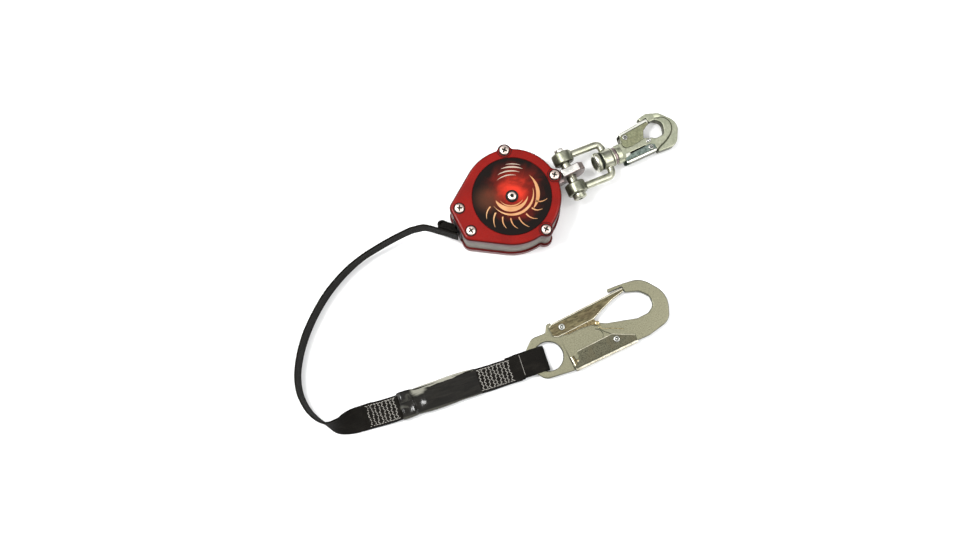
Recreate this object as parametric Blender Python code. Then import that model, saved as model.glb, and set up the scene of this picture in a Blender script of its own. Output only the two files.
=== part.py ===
"""A self retracting lifeline: a drum casing with a swivelling anchor hook on a clevis,
and a webbing lifeline that ends in an energy absorber pack and a double locking hook.

The origin is on the drum's axis in the flat rear face that the casing lies on. +Z leaves
through the label and +X runs along the casing towards the anchor hook. Lengths below are
millimetres, and every mesh is scaled to metres when it is made."""
import bpy
import bmesh
from math import acos, asin, atan2, ceil, cos, degrees, hypot, pi, radians, sin, tan
from mathutils import Matrix, Vector

MM = 0.001
GAP = 0.3

# Casing
BODY_R = 48.5
EAR_R = 7.0
EAR_AT = 46.7
EAR_ANGLES = (0.0, 72.0, -72.0)
EAR_FILLET = 4.0
CHIN_X = -52.0
CHIN_Y = 14.0
CHIN_R = 8.0
WALL = 4.3
REAR_TOP = 10.8
RING_LOW = 11.1
RING_HIGH = 38.9
FRONT_LOW = 39.2
CASE_TOP = 49.0
REAR_FLOOR = 2.6
FRONT_ROOF = 46.0
EDGE_ROUND = 3.0
REAR_ROUND = 2.0
REAR_PROUD = 0.8
RING_INSET = 1.0
BOSS_R = 4.9
POST_R = 3.9
CHIN_SCREWS = ((-51.0, 12.5), (-51.0, -12.5))
MOUTH_HALF = 8.65
MOUTH_LOW = 8.5
MOUTH_HIGH = 38.3
LABEL_R = 38.6
LABEL_LOW = 48.2
LABEL_HIGH = 48.8

# Screws
SCREW_R = 2.4
SCREW_HOLE_R = 2.8
SCREW_SEAT = 48.2
HEAD_R = 4.7
SEAT_R = 5.6
HEAD_HIGH = 2.6

# Webbing and drum
WEB_THICK = 2.2
WEB_LOW = 10.9
WEB_HIGH = 35.9
COIL_R = 37.0
CORE_R = 20.0
FLANGE_R = 38.6
PAYOUT_R = COIL_R + GAP + WEB_THICK / 2
AXLE_R = 5.0

# Locking pawls: the ring's teeth repeat every thirty degrees
TEETH = 12
TOOTH_TIP_R = 36.0
TOOTH_ROOT_R = 39.6
RATCHET_R = 41.5
PAWL_AT = 22.0
PAWL_LOW = 38.1
PAWL_HIGH = 41.9

# Clevis, shackle and swivel, in the connector's own frame: +X from the pin to the hook
PIN_X = 65.0
PIN_Z = 23.0
YAW = -3.3
LUG_HALF = 4.0
LUG_BORE_R = 5.7
PIN_R = 4.9
PIN_BORE_R = 5.2
BARREL_R = 10.25
BARREL_IN = 10.6
BARREL_OUT = 22.6
LEG_Y = 17.7
ROD_R = 3.65
BRIDGE_X = 41.2
BEND_R = 5.6
BOSS_X = (35.9, 46.5)
BOSS_OUT_R = 9.75
SWIVEL_X = 47.0
HOOK_TIP_X = 122.8
HOOK_HALF = 4.5
GATE_SKIN = 1.2

# The connector droops from the pin until the hook's tip lies on the floor
DROOP = degrees(asin(PIN_Z / hypot(HOOK_TIP_X, HOOK_HALF)) - atan2(HOOK_HALF, HOOK_TIP_X))

# Line hook: a plate with two folded channels over its edges
PLATE_LOW = 2.8
PLATE_HIGH = 7.8
FOLD = 1.3
LINE_HOOK_AT = (21.3, -151.0)
LINE_HOOK_TURN = -2.1
PACK_AT = (-139.6, -136.0)
PACK_TURN = -9.1

# Looks: colour, roughness, metallic
COVER_RED = ((0.42, 0.022, 0.014), 0.42, 0.0)
REAR_RED = ((0.30, 0.015, 0.012), 0.45, 0.0)
BAND_GREY = ((0.16, 0.145, 0.125), 0.5, 0.0)
LABEL_BLACK = ((0.012, 0.010, 0.010), 0.35, 0.0)
BLACK_PLASTIC = ((0.015, 0.015, 0.016), 0.5, 0.0)
BRIGHT_STEEL = ((0.62, 0.62, 0.58), 0.3, 1.0)
DARK_STEEL = ((0.20, 0.20, 0.19), 0.4, 1.0)
ZINC = ((0.55, 0.55, 0.48), 0.35, 1.0)
YELLOW_ZINC = ((0.50, 0.46, 0.32), 0.38, 1.0)
BRONZE_ZINC = ((0.30, 0.27, 0.19), 0.4, 1.0)
SPRING_STEEL = ((0.35, 0.36, 0.38), 0.3, 1.0)
BRASS = ((0.60, 0.45, 0.18), 0.35, 1.0)
WEBBING = ((0.018, 0.017, 0.016), 0.85, 0.0)
SLEEVE = ((0.010, 0.010, 0.010), 0.18, 0.0)


def clear_scene():
    for item in list(bpy.data.objects):
        bpy.data.objects.remove(item, do_unlink=True)


def material(look, name):
    """The named material, made from a look the first time that it is asked for."""
    found = bpy.data.materials.get(name)
    if found:
        return found
    color, roughness, metallic = look
    made = bpy.data.materials.new(name)
    made.use_nodes = True
    shader = made.node_tree.nodes["Principled BSDF"]
    shader.inputs["Base Color"].default_value = (*color, 1.0)
    shader.inputs["Roughness"].default_value = roughness
    shader.inputs["Metallic"].default_value = metallic
    made.diffuse_color = (*color, 1.0)
    return made


# ---------------------------------------------------------------- outlines


def polar(radius, angle, center=(0.0, 0.0)):
    turn = radians(angle)
    return (center[0] + radius * cos(turn), center[1] + radius * sin(turn))


def arc(center, radius, start, end, steps):
    """Points on a circle from one angle to another, both ends included."""
    return [polar(radius, start + (end - start) * i / steps, center) for i in range(steps + 1)]


def circle(radius, steps, center=(0.0, 0.0)):
    return arc(center, radius, 0.0, 360.0, steps)[:-1]


def rectangle(low, high):
    return [(low[0], low[1]), (high[0], low[1]), (high[0], high[1]), (low[0], high[1])]


def rounded(corners, turn=22.0):
    """A closed outline from (x, y, radius) corners, each rounded in steps of about turn degrees."""
    points = []
    count = len(corners)
    for i, (x, y, radius) in enumerate(corners):
        here = Vector((x, y))
        back = (Vector(corners[i - 1][:2]) - here).normalized()
        on = (Vector(corners[(i + 1) % count][:2]) - here).normalized()
        angle = back.angle(on)
        if radius <= 0 or angle > radians(179.0):
            points.append((x, y))
            continue
        center = here + (back + on).normalized() * (radius / sin(angle / 2))
        first = here + back * (radius / tan(angle / 2)) - center
        last = here + on * (radius / tan(angle / 2)) - center
        start = atan2(first.y, first.x)
        swing = (atan2(last.y, last.x) - start + pi) % (2 * pi) - pi
        steps = max(2, ceil(abs(degrees(swing)) / turn))
        for k in range(steps + 1):
            spot = start + swing * k / steps
            points.append((center.x + radius * cos(spot), center.y + radius * sin(spot)))
    return points


def turn_about(center, first, last, steps, way):
    """An arc about center from point first to the direction of point last, turning one way."""
    radius = hypot(first[0] - center[0], first[1] - center[1])
    start = degrees(atan2(first[1] - center[1], first[0] - center[0]))
    end = degrees(atan2(last[1] - center[1], last[0] - center[0]))
    swing = (end - start) % 360.0 if way > 0 else -((start - end) % 360.0)
    return arc(center, radius, start, start + swing, steps)


def chin_tangent():
    """The angle at which the straight flank leaves the round body for the chin."""
    reach = hypot(CHIN_X, CHIN_Y)
    return degrees(atan2(CHIN_Y, CHIN_X) - acos((BODY_R - CHIN_R) / reach))


def chin_points(grow, steps):
    """The blunt chin, from the upper flank's corner to the lower one."""
    tangent = chin_tangent()
    upper = arc((CHIN_X, CHIN_Y), CHIN_R + grow, tangent, 180.0, steps)
    lower = arc((CHIN_X, -CHIN_Y), CHIN_R + grow, 180.0, 360.0 - tangent, steps)
    return upper + lower


def housing_outline(grow=0.0, fine=9.0):
    """The casing's outline, counter-clockwise: round body, three ears and the chin."""
    body = BODY_R + grow
    ear = EAR_R + grow
    fillet = EAR_FILLET - grow
    out = body + fillet
    side = degrees(acos((out**2 + EAR_AT**2 - (ear + fillet) ** 2) / (2 * out * EAR_AT)))
    tangent = chin_tangent()

    def ear_points(angle):
        center = polar(EAR_AT, angle)
        before = polar(out, angle - side)
        after = polar(out, angle + side)
        points = turn_about(before, polar(body, angle - side), center, 2, -1)
        far = turn_about(center, points[-1], after, 6, 1)
        points += far[1:]
        points += turn_about(after, far[-1], (0.0, 0.0), 2, -1)[1:]
        return points

    def body_points(start, end):
        steps = max(1, round((end - start) / fine))
        return arc((0.0, 0.0), body, start, end, steps)[1:-1]

    points = ear_points(0.0)
    points += body_points(side, 72.0 - side)
    points += ear_points(72.0)
    points += body_points(72.0 + side, tangent)
    points.append(polar(body, tangent))
    points += chin_points(grow, 3)
    points.append(polar(body, -tangent))
    points += body_points(-tangent, -72.0 - side)
    points += ear_points(-72.0)
    points += body_points(-72.0 + side, -side)
    return points


def cavity_outline():
    """The inside of the casing's wall, without the ears."""
    tangent = chin_tangent()
    points = arc((0.0, 0.0), BODY_R - WALL, -tangent, tangent, 24)
    return points + chin_points(-WALL, 2)


# ---------------------------------------------------------------- solids


def solid(name, points, faces, look, smooth=35.0):
    """An object from millimetre points, with its faces turned outwards."""
    mesh = bpy.data.meshes.new(name)
    shape = bmesh.new()
    corners = [shape.verts.new(Vector(p) * MM) for p in points]
    for face in faces:
        shape.faces.new([corners[i] for i in face])
    bmesh.ops.recalc_face_normals(shape, faces=shape.faces)
    shape.to_mesh(mesh)
    shape.free()
    mesh.shade_smooth()
    mesh.set_sharp_from_angle(angle=radians(smooth))
    made = bpy.data.objects.new(name, mesh)
    bpy.context.scene.collection.objects.link(made)
    if look:
        mesh.materials.append(material(look, name + "_finish"))
    return made


def stack(name, rings, look, smooth=35.0):
    """A solid through equal rings of points, closed by a flat face at each end."""
    count = len(rings[0])
    points = [p for ring in rings for p in ring]
    faces = [tuple(range(count)), tuple(range(len(points) - count, len(points)))]
    for k in range(len(rings) - 1):
        for i in range(count):
            j = (i + 1) % count
            a = k * count
            b = a + count
            faces.append((a + i, a + j, b + j, b + i))
    return solid(name, points, faces, look, smooth)


def prism(name, outline, low, high, look=None, smooth=35.0):
    rings = [[(x, y, z) for x, y in outline] for z in (low, high)]
    return stack(name, rings, look, smooth)


def upright_prism(name, outline, near, far, look=None):
    """A prism whose outline lies in XZ and whose length runs along Y."""
    rings = [[(x, y, z) for x, z in outline] for y in (near, far)]
    return stack(name, rings, look)


def box(name, low, high, look=None):
    return prism(name, rectangle(low, high), low[2], high[2], look)


def lathe(name, profile, look=None, steps=32, axis="Z", center=(0.0, 0.0, 0.0)):
    """A closed (radius, along) profile turned about an axis through center."""
    points = []
    rings = []
    for radius, along in profile:
        ring = []
        for k in range(steps if radius > 1e-6 else 1):
            turn = 2 * pi * k / steps
            spot = (radius * cos(turn), radius * sin(turn), along)
            if axis == "X":
                spot = (spot[2], spot[0], spot[1])
            if axis == "Y":
                spot = (spot[1], spot[2], spot[0])
            ring.append(len(points))
            points.append(tuple(a + b for a, b in zip(spot, center)))
        rings.append(ring)
    faces = []
    for here, there in zip(rings, rings[1:] + rings[:1]):
        if len(here) == 1 and len(there) == 1:
            continue
        for k in range(steps):
            j = (k + 1) % steps
            if len(here) == 1:
                faces.append((here[0], there[j], there[k]))
            elif len(there) == 1:
                faces.append((here[k], here[j], there[0]))
            else:
                faces.append((here[k], here[j], there[j], there[k]))
    return solid(name, points, faces, look)


def rod(name, radius, low, high, look=None, steps=20, axis="Z", center=(0.0, 0.0, 0.0)):
    profile = [(0.0, low), (radius, low), (radius, high), (0.0, high)]
    return lathe(name, profile, look, steps, axis, center)


def tube(name, route, radius, look=None, sides=8):
    """A round wire or bar through a list of points."""
    path = [Vector(p) for p in route]
    rings = []
    up = Vector((0.0, 0.0, 1.0))
    for i, here in enumerate(path):
        along = (path[min(i + 1, len(path) - 1)] - path[max(i - 1, 0)]).normalized()
        side = along.cross(up)
        if side.length < 0.05:
            side = along.cross(Vector((1.0, 0.0, 0.0)))
        side.normalize()
        up = side.cross(along).normalized()
        ring = []
        for k in range(sides):
            turn = 2 * pi * k / sides
            ring.append(tuple(here + side * (radius * cos(turn)) + up * (radius * sin(turn))))
        rings.append(ring)
    return stack(name, rings, look)


def carve(target, tool, join=False):
    """Cuts a tool from a target, or joins it on, and puts the tool out of sight."""
    step = target.modifiers.new("join" if join else "cut", "BOOLEAN")
    step.operation = "UNION" if join else "DIFFERENCE"
    step.solver = "EXACT"
    step.object = tool
    tool.parent = target
    tool.hide_render = True
    tool.display_type = "WIRE"
    return target


def ease(target, width, angle=50.0, segments=1):
    """Breaks a piece's sharp edges."""
    step = target.modifiers.new("edges", "BEVEL")
    step.width = width * MM
    step.segments = segments
    step.limit_method = "ANGLE"
    step.angle_limit = radians(angle)
    return target


def axis_at(name, location, parent=None, rotation=(0.0, 0.0, 0.0)):
    """An empty on a joint's axis, for the pieces that turn or slide with it."""
    empty = bpy.data.objects.new(name, None)
    bpy.context.scene.collection.objects.link(empty)
    empty.location = Vector(location) * MM
    empty.rotation_euler = [radians(a) for a in rotation]
    empty.parent = parent
    return empty


def adopt(parent, pieces, shift=(0.0, 0.0, 0.0)):
    """Hangs pieces on an axis; shift is where the frame they were drawn in lies from it."""
    for piece in pieces:
        piece.parent = parent
        piece.location = Vector(shift) * MM


# ---------------------------------------------------------------- casing


def screw_places():
    return [polar(EAR_AT, angle) for angle in EAR_ANGLES] + list(CHIN_SCREWS)


def cavity(name, low, high, posts_at):
    """What the casing holds open: the drum's well and the chin, less the screw posts."""
    hollow = prism(name, cavity_outline(), low, high)
    for k, (x, y) in enumerate(posts_at):
        in_chin = x < CHIN_X / 2
        radius = POST_R if in_chin else BOSS_R
        post = rod(f"{name}_post_{k}", radius, low - 1, high + 1, steps=14, center=(x, y, 0))
        carve(hollow, post)
        if in_chin:
            side = 1 if y > 0 else -1
            corners = [(x - 0.5, y), (x + 2.0, y + 2.0 * side)]
            corners += [(x - 4.0, y + 9.0 * side), (x - 8.5, y + 4.0 * side)]
            carve(hollow, prism(f"{name}_rib_{k}", corners[::side], low - 1, high + 1))
    return hollow


def cover_rings(levels):
    return [[(x, y, z) for x, y in housing_outline(grow)] for z, grow in levels]


def edge_levels(start, way, reach, steps=2):
    """(height, growth) pairs of a quarter round that ends a cover's edge."""
    levels = []
    for k in range(steps + 1):
        turn = radians(90.0 * k / steps)
        levels.append((start + way * reach * sin(turn), -reach * (1 - cos(turn))))
    return levels


def make_mouth_cut(name):
    return box(name, (-70.0, -MOUTH_HALF, MOUTH_LOW), (-50.0, MOUTH_HALF, MOUTH_HIGH))


def make_rear_cover():
    levels = edge_levels(REAR_ROUND, -1, REAR_ROUND)[::-1] + [(REAR_TOP, 0.0)]
    proud = [(z, grow + REAR_PROUD) for z, grow in levels]
    cover = stack("rear_cover", cover_rings(proud), REAR_RED)
    carve(cover, cavity("rear_well", REAR_FLOOR, REAR_TOP + 1, screw_places()))
    for k, (x, y) in enumerate(screw_places()):
        hole = rod(f"rear_hole_{k}", 3.6, 4.0, REAR_TOP + 1, steps=12, center=(x, y, 0))
        carve(cover, hole)
    carve(cover, make_mouth_cut("rear_mouth"))


def make_center_ring():
    ring = prism("center_ring", housing_outline(-RING_INSET), RING_LOW, RING_HIGH, BAND_GREY)
    posts = [p for p in screw_places() if p[1] != 0.0]
    carve(ring, cavity("ring_well", RING_LOW - 1, RING_HIGH + 1, posts))
    for k, (x, y) in enumerate(screw_places()):
        center = (x, y, 0)
        hole = rod(f"ring_hole_{k}", SCREW_HOLE_R, RING_LOW - 1, RING_HIGH + 1, steps=12, center=center)
        carve(ring, hole)
    carve(ring, make_mouth_cut("ring_mouth"))
    carve(ring, box("lug_window", (38.0, -6.9, 16.5), (60.0, 6.9, 31.5)))


def make_front_cover():
    levels = [(FRONT_LOW, 0.0)] + edge_levels(CASE_TOP - EDGE_ROUND, 1, EDGE_ROUND)
    cover = stack("front_cover", cover_rings(levels), COVER_RED)
    carve(cover, cavity("front_well", FRONT_LOW - 1, FRONT_ROOF, screw_places()))
    for k, (x, y) in enumerate(screw_places()):
        profile = [(0.0, FRONT_LOW - 1), (SCREW_HOLE_R, FRONT_LOW - 1), (SCREW_HOLE_R, SCREW_SEAT)]
        profile += [(SEAT_R, SCREW_SEAT), (SEAT_R, CASE_TOP + 1), (0.0, CASE_TOP + 1)]
        carve(cover, lathe(f"front_hole_{k}", profile, steps=14, center=(x, y, 0)))
    carve(cover, make_mouth_cut("front_mouth"))
    carve(cover, rod("label_recess", LABEL_R + GAP, LABEL_LOW - GAP, CASE_TOP + 1, steps=48))
    carve(cover, rod("axle_opening", 4.0, FRONT_ROOF - 1, CASE_TOP, steps=24))


def make_label():
    profile = [(6.4, LABEL_LOW), (LABEL_R, LABEL_LOW), (LABEL_R, LABEL_HIGH), (6.4, LABEL_HIGH)]
    lathe("label_plate", profile, LABEL_BLACK, steps=48)


def make_screw(name, place):
    """A pan head screw with a cross recess."""
    top = SCREW_SEAT + GAP + HEAD_HIGH
    seat = SCREW_SEAT + GAP
    profile = [(0.0, 5.0), (SCREW_R, 5.6), (SCREW_R, seat), (HEAD_R, seat)]
    profile += [(HEAD_R, seat + 0.9), (4.0, seat + 2.0), (2.6, top), (0.0, top)]
    screw = lathe(name, profile, BRIGHT_STEEL, steps=14, center=(*place, 0))
    x, y = place
    cross = box(name + "_slot", (x - 2.4, y - 0.5, top - 1.3), (x + 2.4, y + 0.5, top + 1))
    other = box(name + "_cross", (x - 0.5, y - 2.4, top - 1.5), (x + 0.5, y + 2.4, top + 1.2))
    carve(cross, other, join=True)
    carve(screw, cross)


def make_insert(name, place):
    """A threaded sleeve moulded into the rear cover, which a cover screw bites in."""
    profile = [(SCREW_R + GAP, 4.6), (3.3, 4.6), (3.3, 10.4), (SCREW_R + GAP, 10.4)]
    lathe(name, profile, BRASS, steps=12, center=(*place, 0))


def make_fasteners():
    for k, place in enumerate(screw_places()):
        letter = "abcde"[k]
        make_screw(f"cover_screw_{letter}", place)
        make_insert(f"threaded_insert_{letter}", place)


def tail_line():
    """The straight webbing between the coil and the mouth: its foot on the coil's circle, its
    direction and its normal. It passes a chin screw's post with a running gap."""
    post = Vector(CHIN_SCREWS[1])
    clear = PAYOUT_R + POST_R + GAP + WEB_THICK / 2
    turn = atan2(-post.y, -post.x) + acos(clear / post.length)
    normal = Vector((cos(turn), sin(turn)))
    along = Vector((-normal.y, normal.x))
    return normal * -PAYOUT_R, along, normal


def strip(low, high, near, far):
    """A rectangle in tail coordinates: low and high along the webbing, near and far across it."""
    foot, along, normal = tail_line()
    spots = [foot + along * a + normal * c for a, c in ((low, near), (high, near), (high, far), (low, far))]
    return [(p.x, p.y) for p in spots]


def make_exit_guide():
    """The black nozzle in the chin that the webbing leaves through."""
    guide = box("exit_guide", (-60.6, -8.3, 8.8), (-50.5, 8.3, 38.0), BLACK_PLASTIC)
    carve(guide, prism("exit_slot", strip(20.0, 70.0, -2.6, 2.6), 10.3, 36.5))


def make_bracket():
    """The steel frame: a base behind the drum, a web, and the lug that the clevis pin crosses."""
    corners = [(-17, -13, 12), (17, -15, 6), (24, -10, 4), (41.5, -10, 1)]
    corners += [(41.5, 10, 1), (24, 10, 4), (17, 15, 6), (-17, 13, 12)]
    bracket = prism("anchor_bracket", rounded(corners), 2.9, 5.4, DARK_STEEL)
    carve(bracket, box("bracket_web", (39.2, -10.0, 2.9), (41.5, 10.0, 17.6)), join=True)
    carve(bracket, box("bracket_neck", (39.2, -6.5, 16.8), (56.0, 6.5, 31.2)), join=True)
    profile = [(54.9, 4.5, 2.0), (66.0, 5.5, 12.0), (80.0, 9.5, 9.0), (80.6, 30.0, 9.0)]
    profile += [(74.6, 38.4, 2.5), (54.9, 38.4, 2.0)]
    lug = upright_prism("bracket_lug", rounded(profile, 12.0), -LUG_HALF, LUG_HALF)
    ease(lug, 0.8)
    carve(bracket, lug, join=True)
    carve(bracket, rod("lug_bore", LUG_BORE_R, -9.0, 9.0, steps=28, axis="Y", center=(PIN_X, 0, PIN_Z)))
    carve(bracket, rod("neck_bore", SCREW_HOLE_R, 14.0, 34.0, steps=16, center=(EAR_AT, 0, 0)))
    carve(bracket, rod("base_bore", 4.0, 1.0, 7.0, steps=24))


def make_axle():
    profile = [(0.0, 2.9), (3.7, 2.9), (3.7, 5.7), (8.5, 5.7), (8.5, 8.6), (AXLE_R, 8.6)]
    profile += [(AXLE_R, 45.6), (2.8, 45.6), (2.8, 30.0), (0.0, 30.0)]
    lathe("axle_shaft", profile, DARK_STEEL, steps=20)
    profile = [(0.0, 31.0), (2.4, 31.0), (2.4, 49.4), (4.5, 49.4), (4.5, 50.6), (3.9, 51.3)]
    profile += [(1.6, 51.6), (1.6, 50.2), (0.0, 50.2)]
    lathe("axle_screw", profile, BRIGHT_STEEL, steps=16)
    profile = [(2.8, 48.2), (6.0, 48.2), (6.0, 50.3), (5.5, 50.6), (4.9, 50.3), (4.9, 49.1), (2.8, 49.1)]
    lathe("axle_collar", profile, BLACK_PLASTIC, steps=20)


# ---------------------------------------------------------------- drum


def make_drum(axis):
    profile = [(7.2, 9.1), (FLANGE_R, 9.1), (FLANGE_R, 10.6), (CORE_R, 10.6), (CORE_R, 35.9)]
    profile += [(18.4, 35.9), (18.4, 10.9), (7.2, 10.9)]
    hub = lathe("drum_hub", profile, DARK_STEEL, steps=32)
    profile = [(7.2, 36.2), (FLANGE_R, 36.2), (FLANGE_R, 37.7), (7.2, 37.7)]
    flange = lathe("drum_flange", profile, DARK_STEEL, steps=32)
    for k, turn in enumerate((90.0, 270.0)):
        x, y = polar(PAWL_AT, turn)
        carve(flange, rod(f"pin_seat_{k}", 2.3, 35.0, 39.0, steps=14, center=(x, y, 0)))
    core = CORE_R + GAP
    profile = [(core, WEB_LOW), (COIL_R, WEB_LOW), (COIL_R, WEB_HIGH), (core, WEB_HIGH)]
    coil = lathe("webbing_coil", profile, WEBBING, steps=36)
    profile = [(5.3, 8.9), (6.9, 8.9), (6.9, 12.4), (5.3, 12.4)]
    rear_bush = lathe("rear_bush", profile, BRASS, steps=24)
    profile = [(5.3, 34.8), (6.9, 34.8), (6.9, 37.9), (5.3, 37.9)]
    front_bush = lathe("front_bush", profile, BRASS, steps=24)
    pieces = [hub, flange, coil, rear_bush, front_bush]
    for k, turn in enumerate((90.0, 270.0)):
        x, y = polar(PAWL_AT, turn)
        pin = rod(f"pawl_pin_{'ab'[k]}", 2.0, 36.4, 42.3, BRIGHT_STEEL, steps=14, center=(x, y, 0))
        bends = ((14.5, -12), (15.5, 8), (18.5, 24), (22.0, 34), (26.0, 39))
        route = [(*polar(radius, turn - angle), 39.8) for radius, angle in bends]
        spring = tube(f"pawl_spring_{'ab'[k]}", route, 0.45, SPRING_STEEL, 6)
        pieces += [pin, spring]
    adopt(axis, pieces)


def make_power_spring(axis):
    """A flat spring wound in the drum's core; a strip on edge, a third of a millimetre thick."""
    turns = 5
    per_turn = 16
    inner = 7.6
    outer = 17.6
    half = 0.2
    rings = []
    for k in range(turns * per_turn + 1):
        share = k / (turns * per_turn)
        radius = inner + (outer - inner) * share
        turn = 360.0 * turns * share
        near = polar(radius - half, turn)
        far = polar(radius + half, turn)
        rings.append([(*near, 13.0), (*far, 13.0), (*far, 34.2), (*near, 34.2)])
    adopt(axis, [stack("power_spring", rings, SPRING_STEEL)])


def ratchet_outline():
    """The ring's inner edge: in each pitch a locking face, a pocket and a ramp."""
    pitch = 360.0 / TEETH
    points = []
    for k in range(TEETH):
        start = k * pitch - 7.0
        points += [polar(TOOTH_TIP_R, start), polar(TOOTH_ROOT_R, start)]
        points += [polar(TOOTH_ROOT_R, start + a) for a in (6.5, 13.0)]
        points += [polar(TOOTH_TIP_R, start + 25.0)]
    return points


def make_ratchet_ring():
    ring = prism("ratchet_ring", circle(RATCHET_R, 36), 38.0, 45.6, DARK_STEEL)
    carve(ring, prism("ratchet_opening", ratchet_outline(), 37.0, 46.6))


def make_pawl(name, axis):
    """A pawl whose pivot is at its frame's origin, with its tip towards +X."""
    corners = [(-5.0, -4.6, 4.4), (3.0, -4.8, 3.0), (13.0, -2.0, 6.0), (21.6, 1.6, 0.8)]
    corners += [(22.0, 3.4, 0.6), (20.4, 5.0, 0.6), (12.0, 7.2, 8.0), (-5.0, 5.0, 4.6)]
    pawl = prism(name, rounded(corners), PAWL_LOW, PAWL_HIGH, BRIGHT_STEEL)
    carve(pawl, rod(name + "_bore", 2.3, PAWL_LOW - 1, PAWL_HIGH + 1, steps=14))
    adopt(axis, [pawl])


# ---------------------------------------------------------------- anchor connector


def make_shackle(axis):
    """The clevis: two barrels on the pin, two legs, and a boss for the swivel."""
    bend = BRIDGE_X - BEND_R
    straight = LEG_Y - BEND_R
    route = [(4.0, LEG_Y, 0.0), (bend / 2, LEG_Y, 0.0)]
    route += [(*p, 0.0) for p in arc((bend, straight), BEND_R, 90.0, 0.0, 4)]
    route += [(x, -y, z) for x, y, z in route[::-1]]
    shackle = tube("shackle", route, ROD_R, ZINC, 12)
    for k, side in enumerate((1, -1)):
        low, high = sorted((side * BARREL_IN, side * BARREL_OUT))
        profile = [(0.0, low), (BARREL_R - 1.5, low), (BARREL_R, low + 1.5), (BARREL_R, high - 1.5)]
        profile += [(BARREL_R - 1.5, high), (0.0, high)]
        carve(shackle, lathe(f"shackle_barrel_{k}", profile, steps=24, axis="Y"), join=True)
    low, high = BOSS_X
    profile = [(0.0, low), (BOSS_OUT_R - 1, low), (BOSS_OUT_R, low + 1), (BOSS_OUT_R, high - 1)]
    profile += [(BOSS_OUT_R - 1, high), (0.0, high)]
    carve(shackle, lathe("shackle_boss", profile, steps=24, axis="X"), join=True)
    carve(shackle, rod("shackle_bore", PIN_BORE_R, -30.0, 30.0, steps=18, axis="Y"))
    carve(shackle, rod("swivel_bore", PIN_BORE_R, 30.0, 50.0, steps=18, axis="X"))
    adopt(axis, [shackle])


def make_clevis_pin(axis):
    profile = [(0.0, -28.0), (5.6, -28.0), (6.75, -27.0), (6.75, -22.9), (PIN_R, -22.9)]
    profile += [(PIN_R, 22.6), (2.9, 22.9), (2.9, 27.2), (2.4, 27.8), (0.0, 27.8)]
    pin = lathe("clevis_pin", profile, ZINC, steps=18, axis="Y")
    nut = upright_prism("clevis_pin_nut", circle(5.5, 6), 23.2, 26.8, BRIGHT_STEEL)
    ease(nut, 0.4)
    carve(nut, rod("nut_bore", 3.2, 20.0, 30.0, steps=16, axis="Y"))
    adopt(axis, [pin, nut])


def make_swivel(axis):
    """The swivel bolt and its washers, drawn in the connector's frame."""
    profile = [(0.0, 27.5), (4.0, 27.7), (8.0, 29.0), (10.0, 31.2), (10.0, 34.8), (9.2, 35.6)]
    profile += [(4.9, 35.6), (4.9, 56.0), (0.0, 56.0)]
    bolt = lathe("swivel_bolt", profile, ZINC, steps=20, axis="X")
    profile = [(5.2, 46.8), (9.6, 46.8), (9.6, 48.6), (5.2, 48.6)]
    inner = lathe("swivel_washer_inner", profile, ZINC, steps=24, axis="X")
    profile = [(5.2, 48.9), (8.8, 48.9), (8.8, 51.4), (5.2, 51.4)]
    outer = lathe("swivel_washer_outer", profile, DARK_STEEL, steps=24, axis="X")
    adopt(axis, [bolt, inner, outer], (-SWIVEL_X, 0.0, 0.0))


ANCHOR_GATE_PIVOT = (67.0, 12.5)
ANCHOR_LEVER_PIVOT = (88.0, -6.2)


def anchor_body_outline():
    """The forged hook, from its neck round the bend to the nose and back along the throat."""
    corners = [(51.7, -9.0, 1.0), (59.0, -9.0, 1.5), (62.0, -7.0, 2.0), (66.0, -3.2, 2.0)]
    corners += [(84.0, -2.2, 1.0), (86.0, -9.0, 1.0), (93.6, -8.0, 0.6), (94.5, -13.0, 0.8)]
    corners += [(115.0, -13.6, 12.0), (127.0, 8.0, 13.0), (111.5, 24.6, 9.0), (98.0, 28.4, 3.0)]
    corners += [(89.0, 26.2, 1.2), (89.7, 22.7, 1.0), (97.0, 24.2, 0.8), (98.2, 18.8, 1.0)]
    corners += [(103.5, 19.6, 5.0), (111.5, 14.0, 7.0), (108.0, 1.8, 6.0), (98.0, 0.6, 5.0)]
    corners += [(86.0, 5.6, 4.0), (74.0, 6.5, 2.0), (71.3, 7.6, 1.0), (71.3, 16.6, 4.2), (62.6, 15.6, 4.0)]
    corners += [(61.0, 9.0, 1.0), (51.7, 9.0, 1.0)]
    return rounded(corners)


def anchor_gate_outline():
    corners = [(60.8, 2.6, 4.0), (70.0, 1.6, 4.0), (84.5, 4.2, 1.0), (88.8, 13.6, 1.5)]
    corners += [(95.6, 16.6, 1.5), (97.0, 19.0, 1.0), (96.0, 23.2, 0.8), (62.5, 18.6, 3.5)]
    return rounded(corners)


def anchor_lever_outline():
    corners = [(57.6, -13.2, 1.5), (93.0, -11.4, 1.0), (93.0, -4.6, 1.5), (88.5, -2.5, 2.0)]
    corners += [(66.0, -5.2, 2.0), (58.4, -7.4, 1.5)]
    return rounded(corners)


def channel(name, outline, inner, low, high, skin, look):
    """A folded sheet over a plate's edge: an outline with the plate's room taken from it."""
    shell = prism(name, outline, low, high, look)
    carve(shell, prism(name + "_room", inner, low + skin, high - skin))
    return shell


def rivet(name, place, shank, head, low, high, head_high, look=None):
    """A pin with a low domed head at each end."""
    profile = [(0.0, low), (head * 0.6, low), (head, low + head_high * 0.6), (head, low + head_high)]
    profile += [(shank, low + head_high), (shank, high - head_high), (head, high - head_high)]
    profile += [(head, high - head_high * 0.6), (head * 0.6, high), (0.0, high)]
    return lathe(name, profile, look or BRIGHT_STEEL, steps=12, center=(*place, 0))


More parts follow.
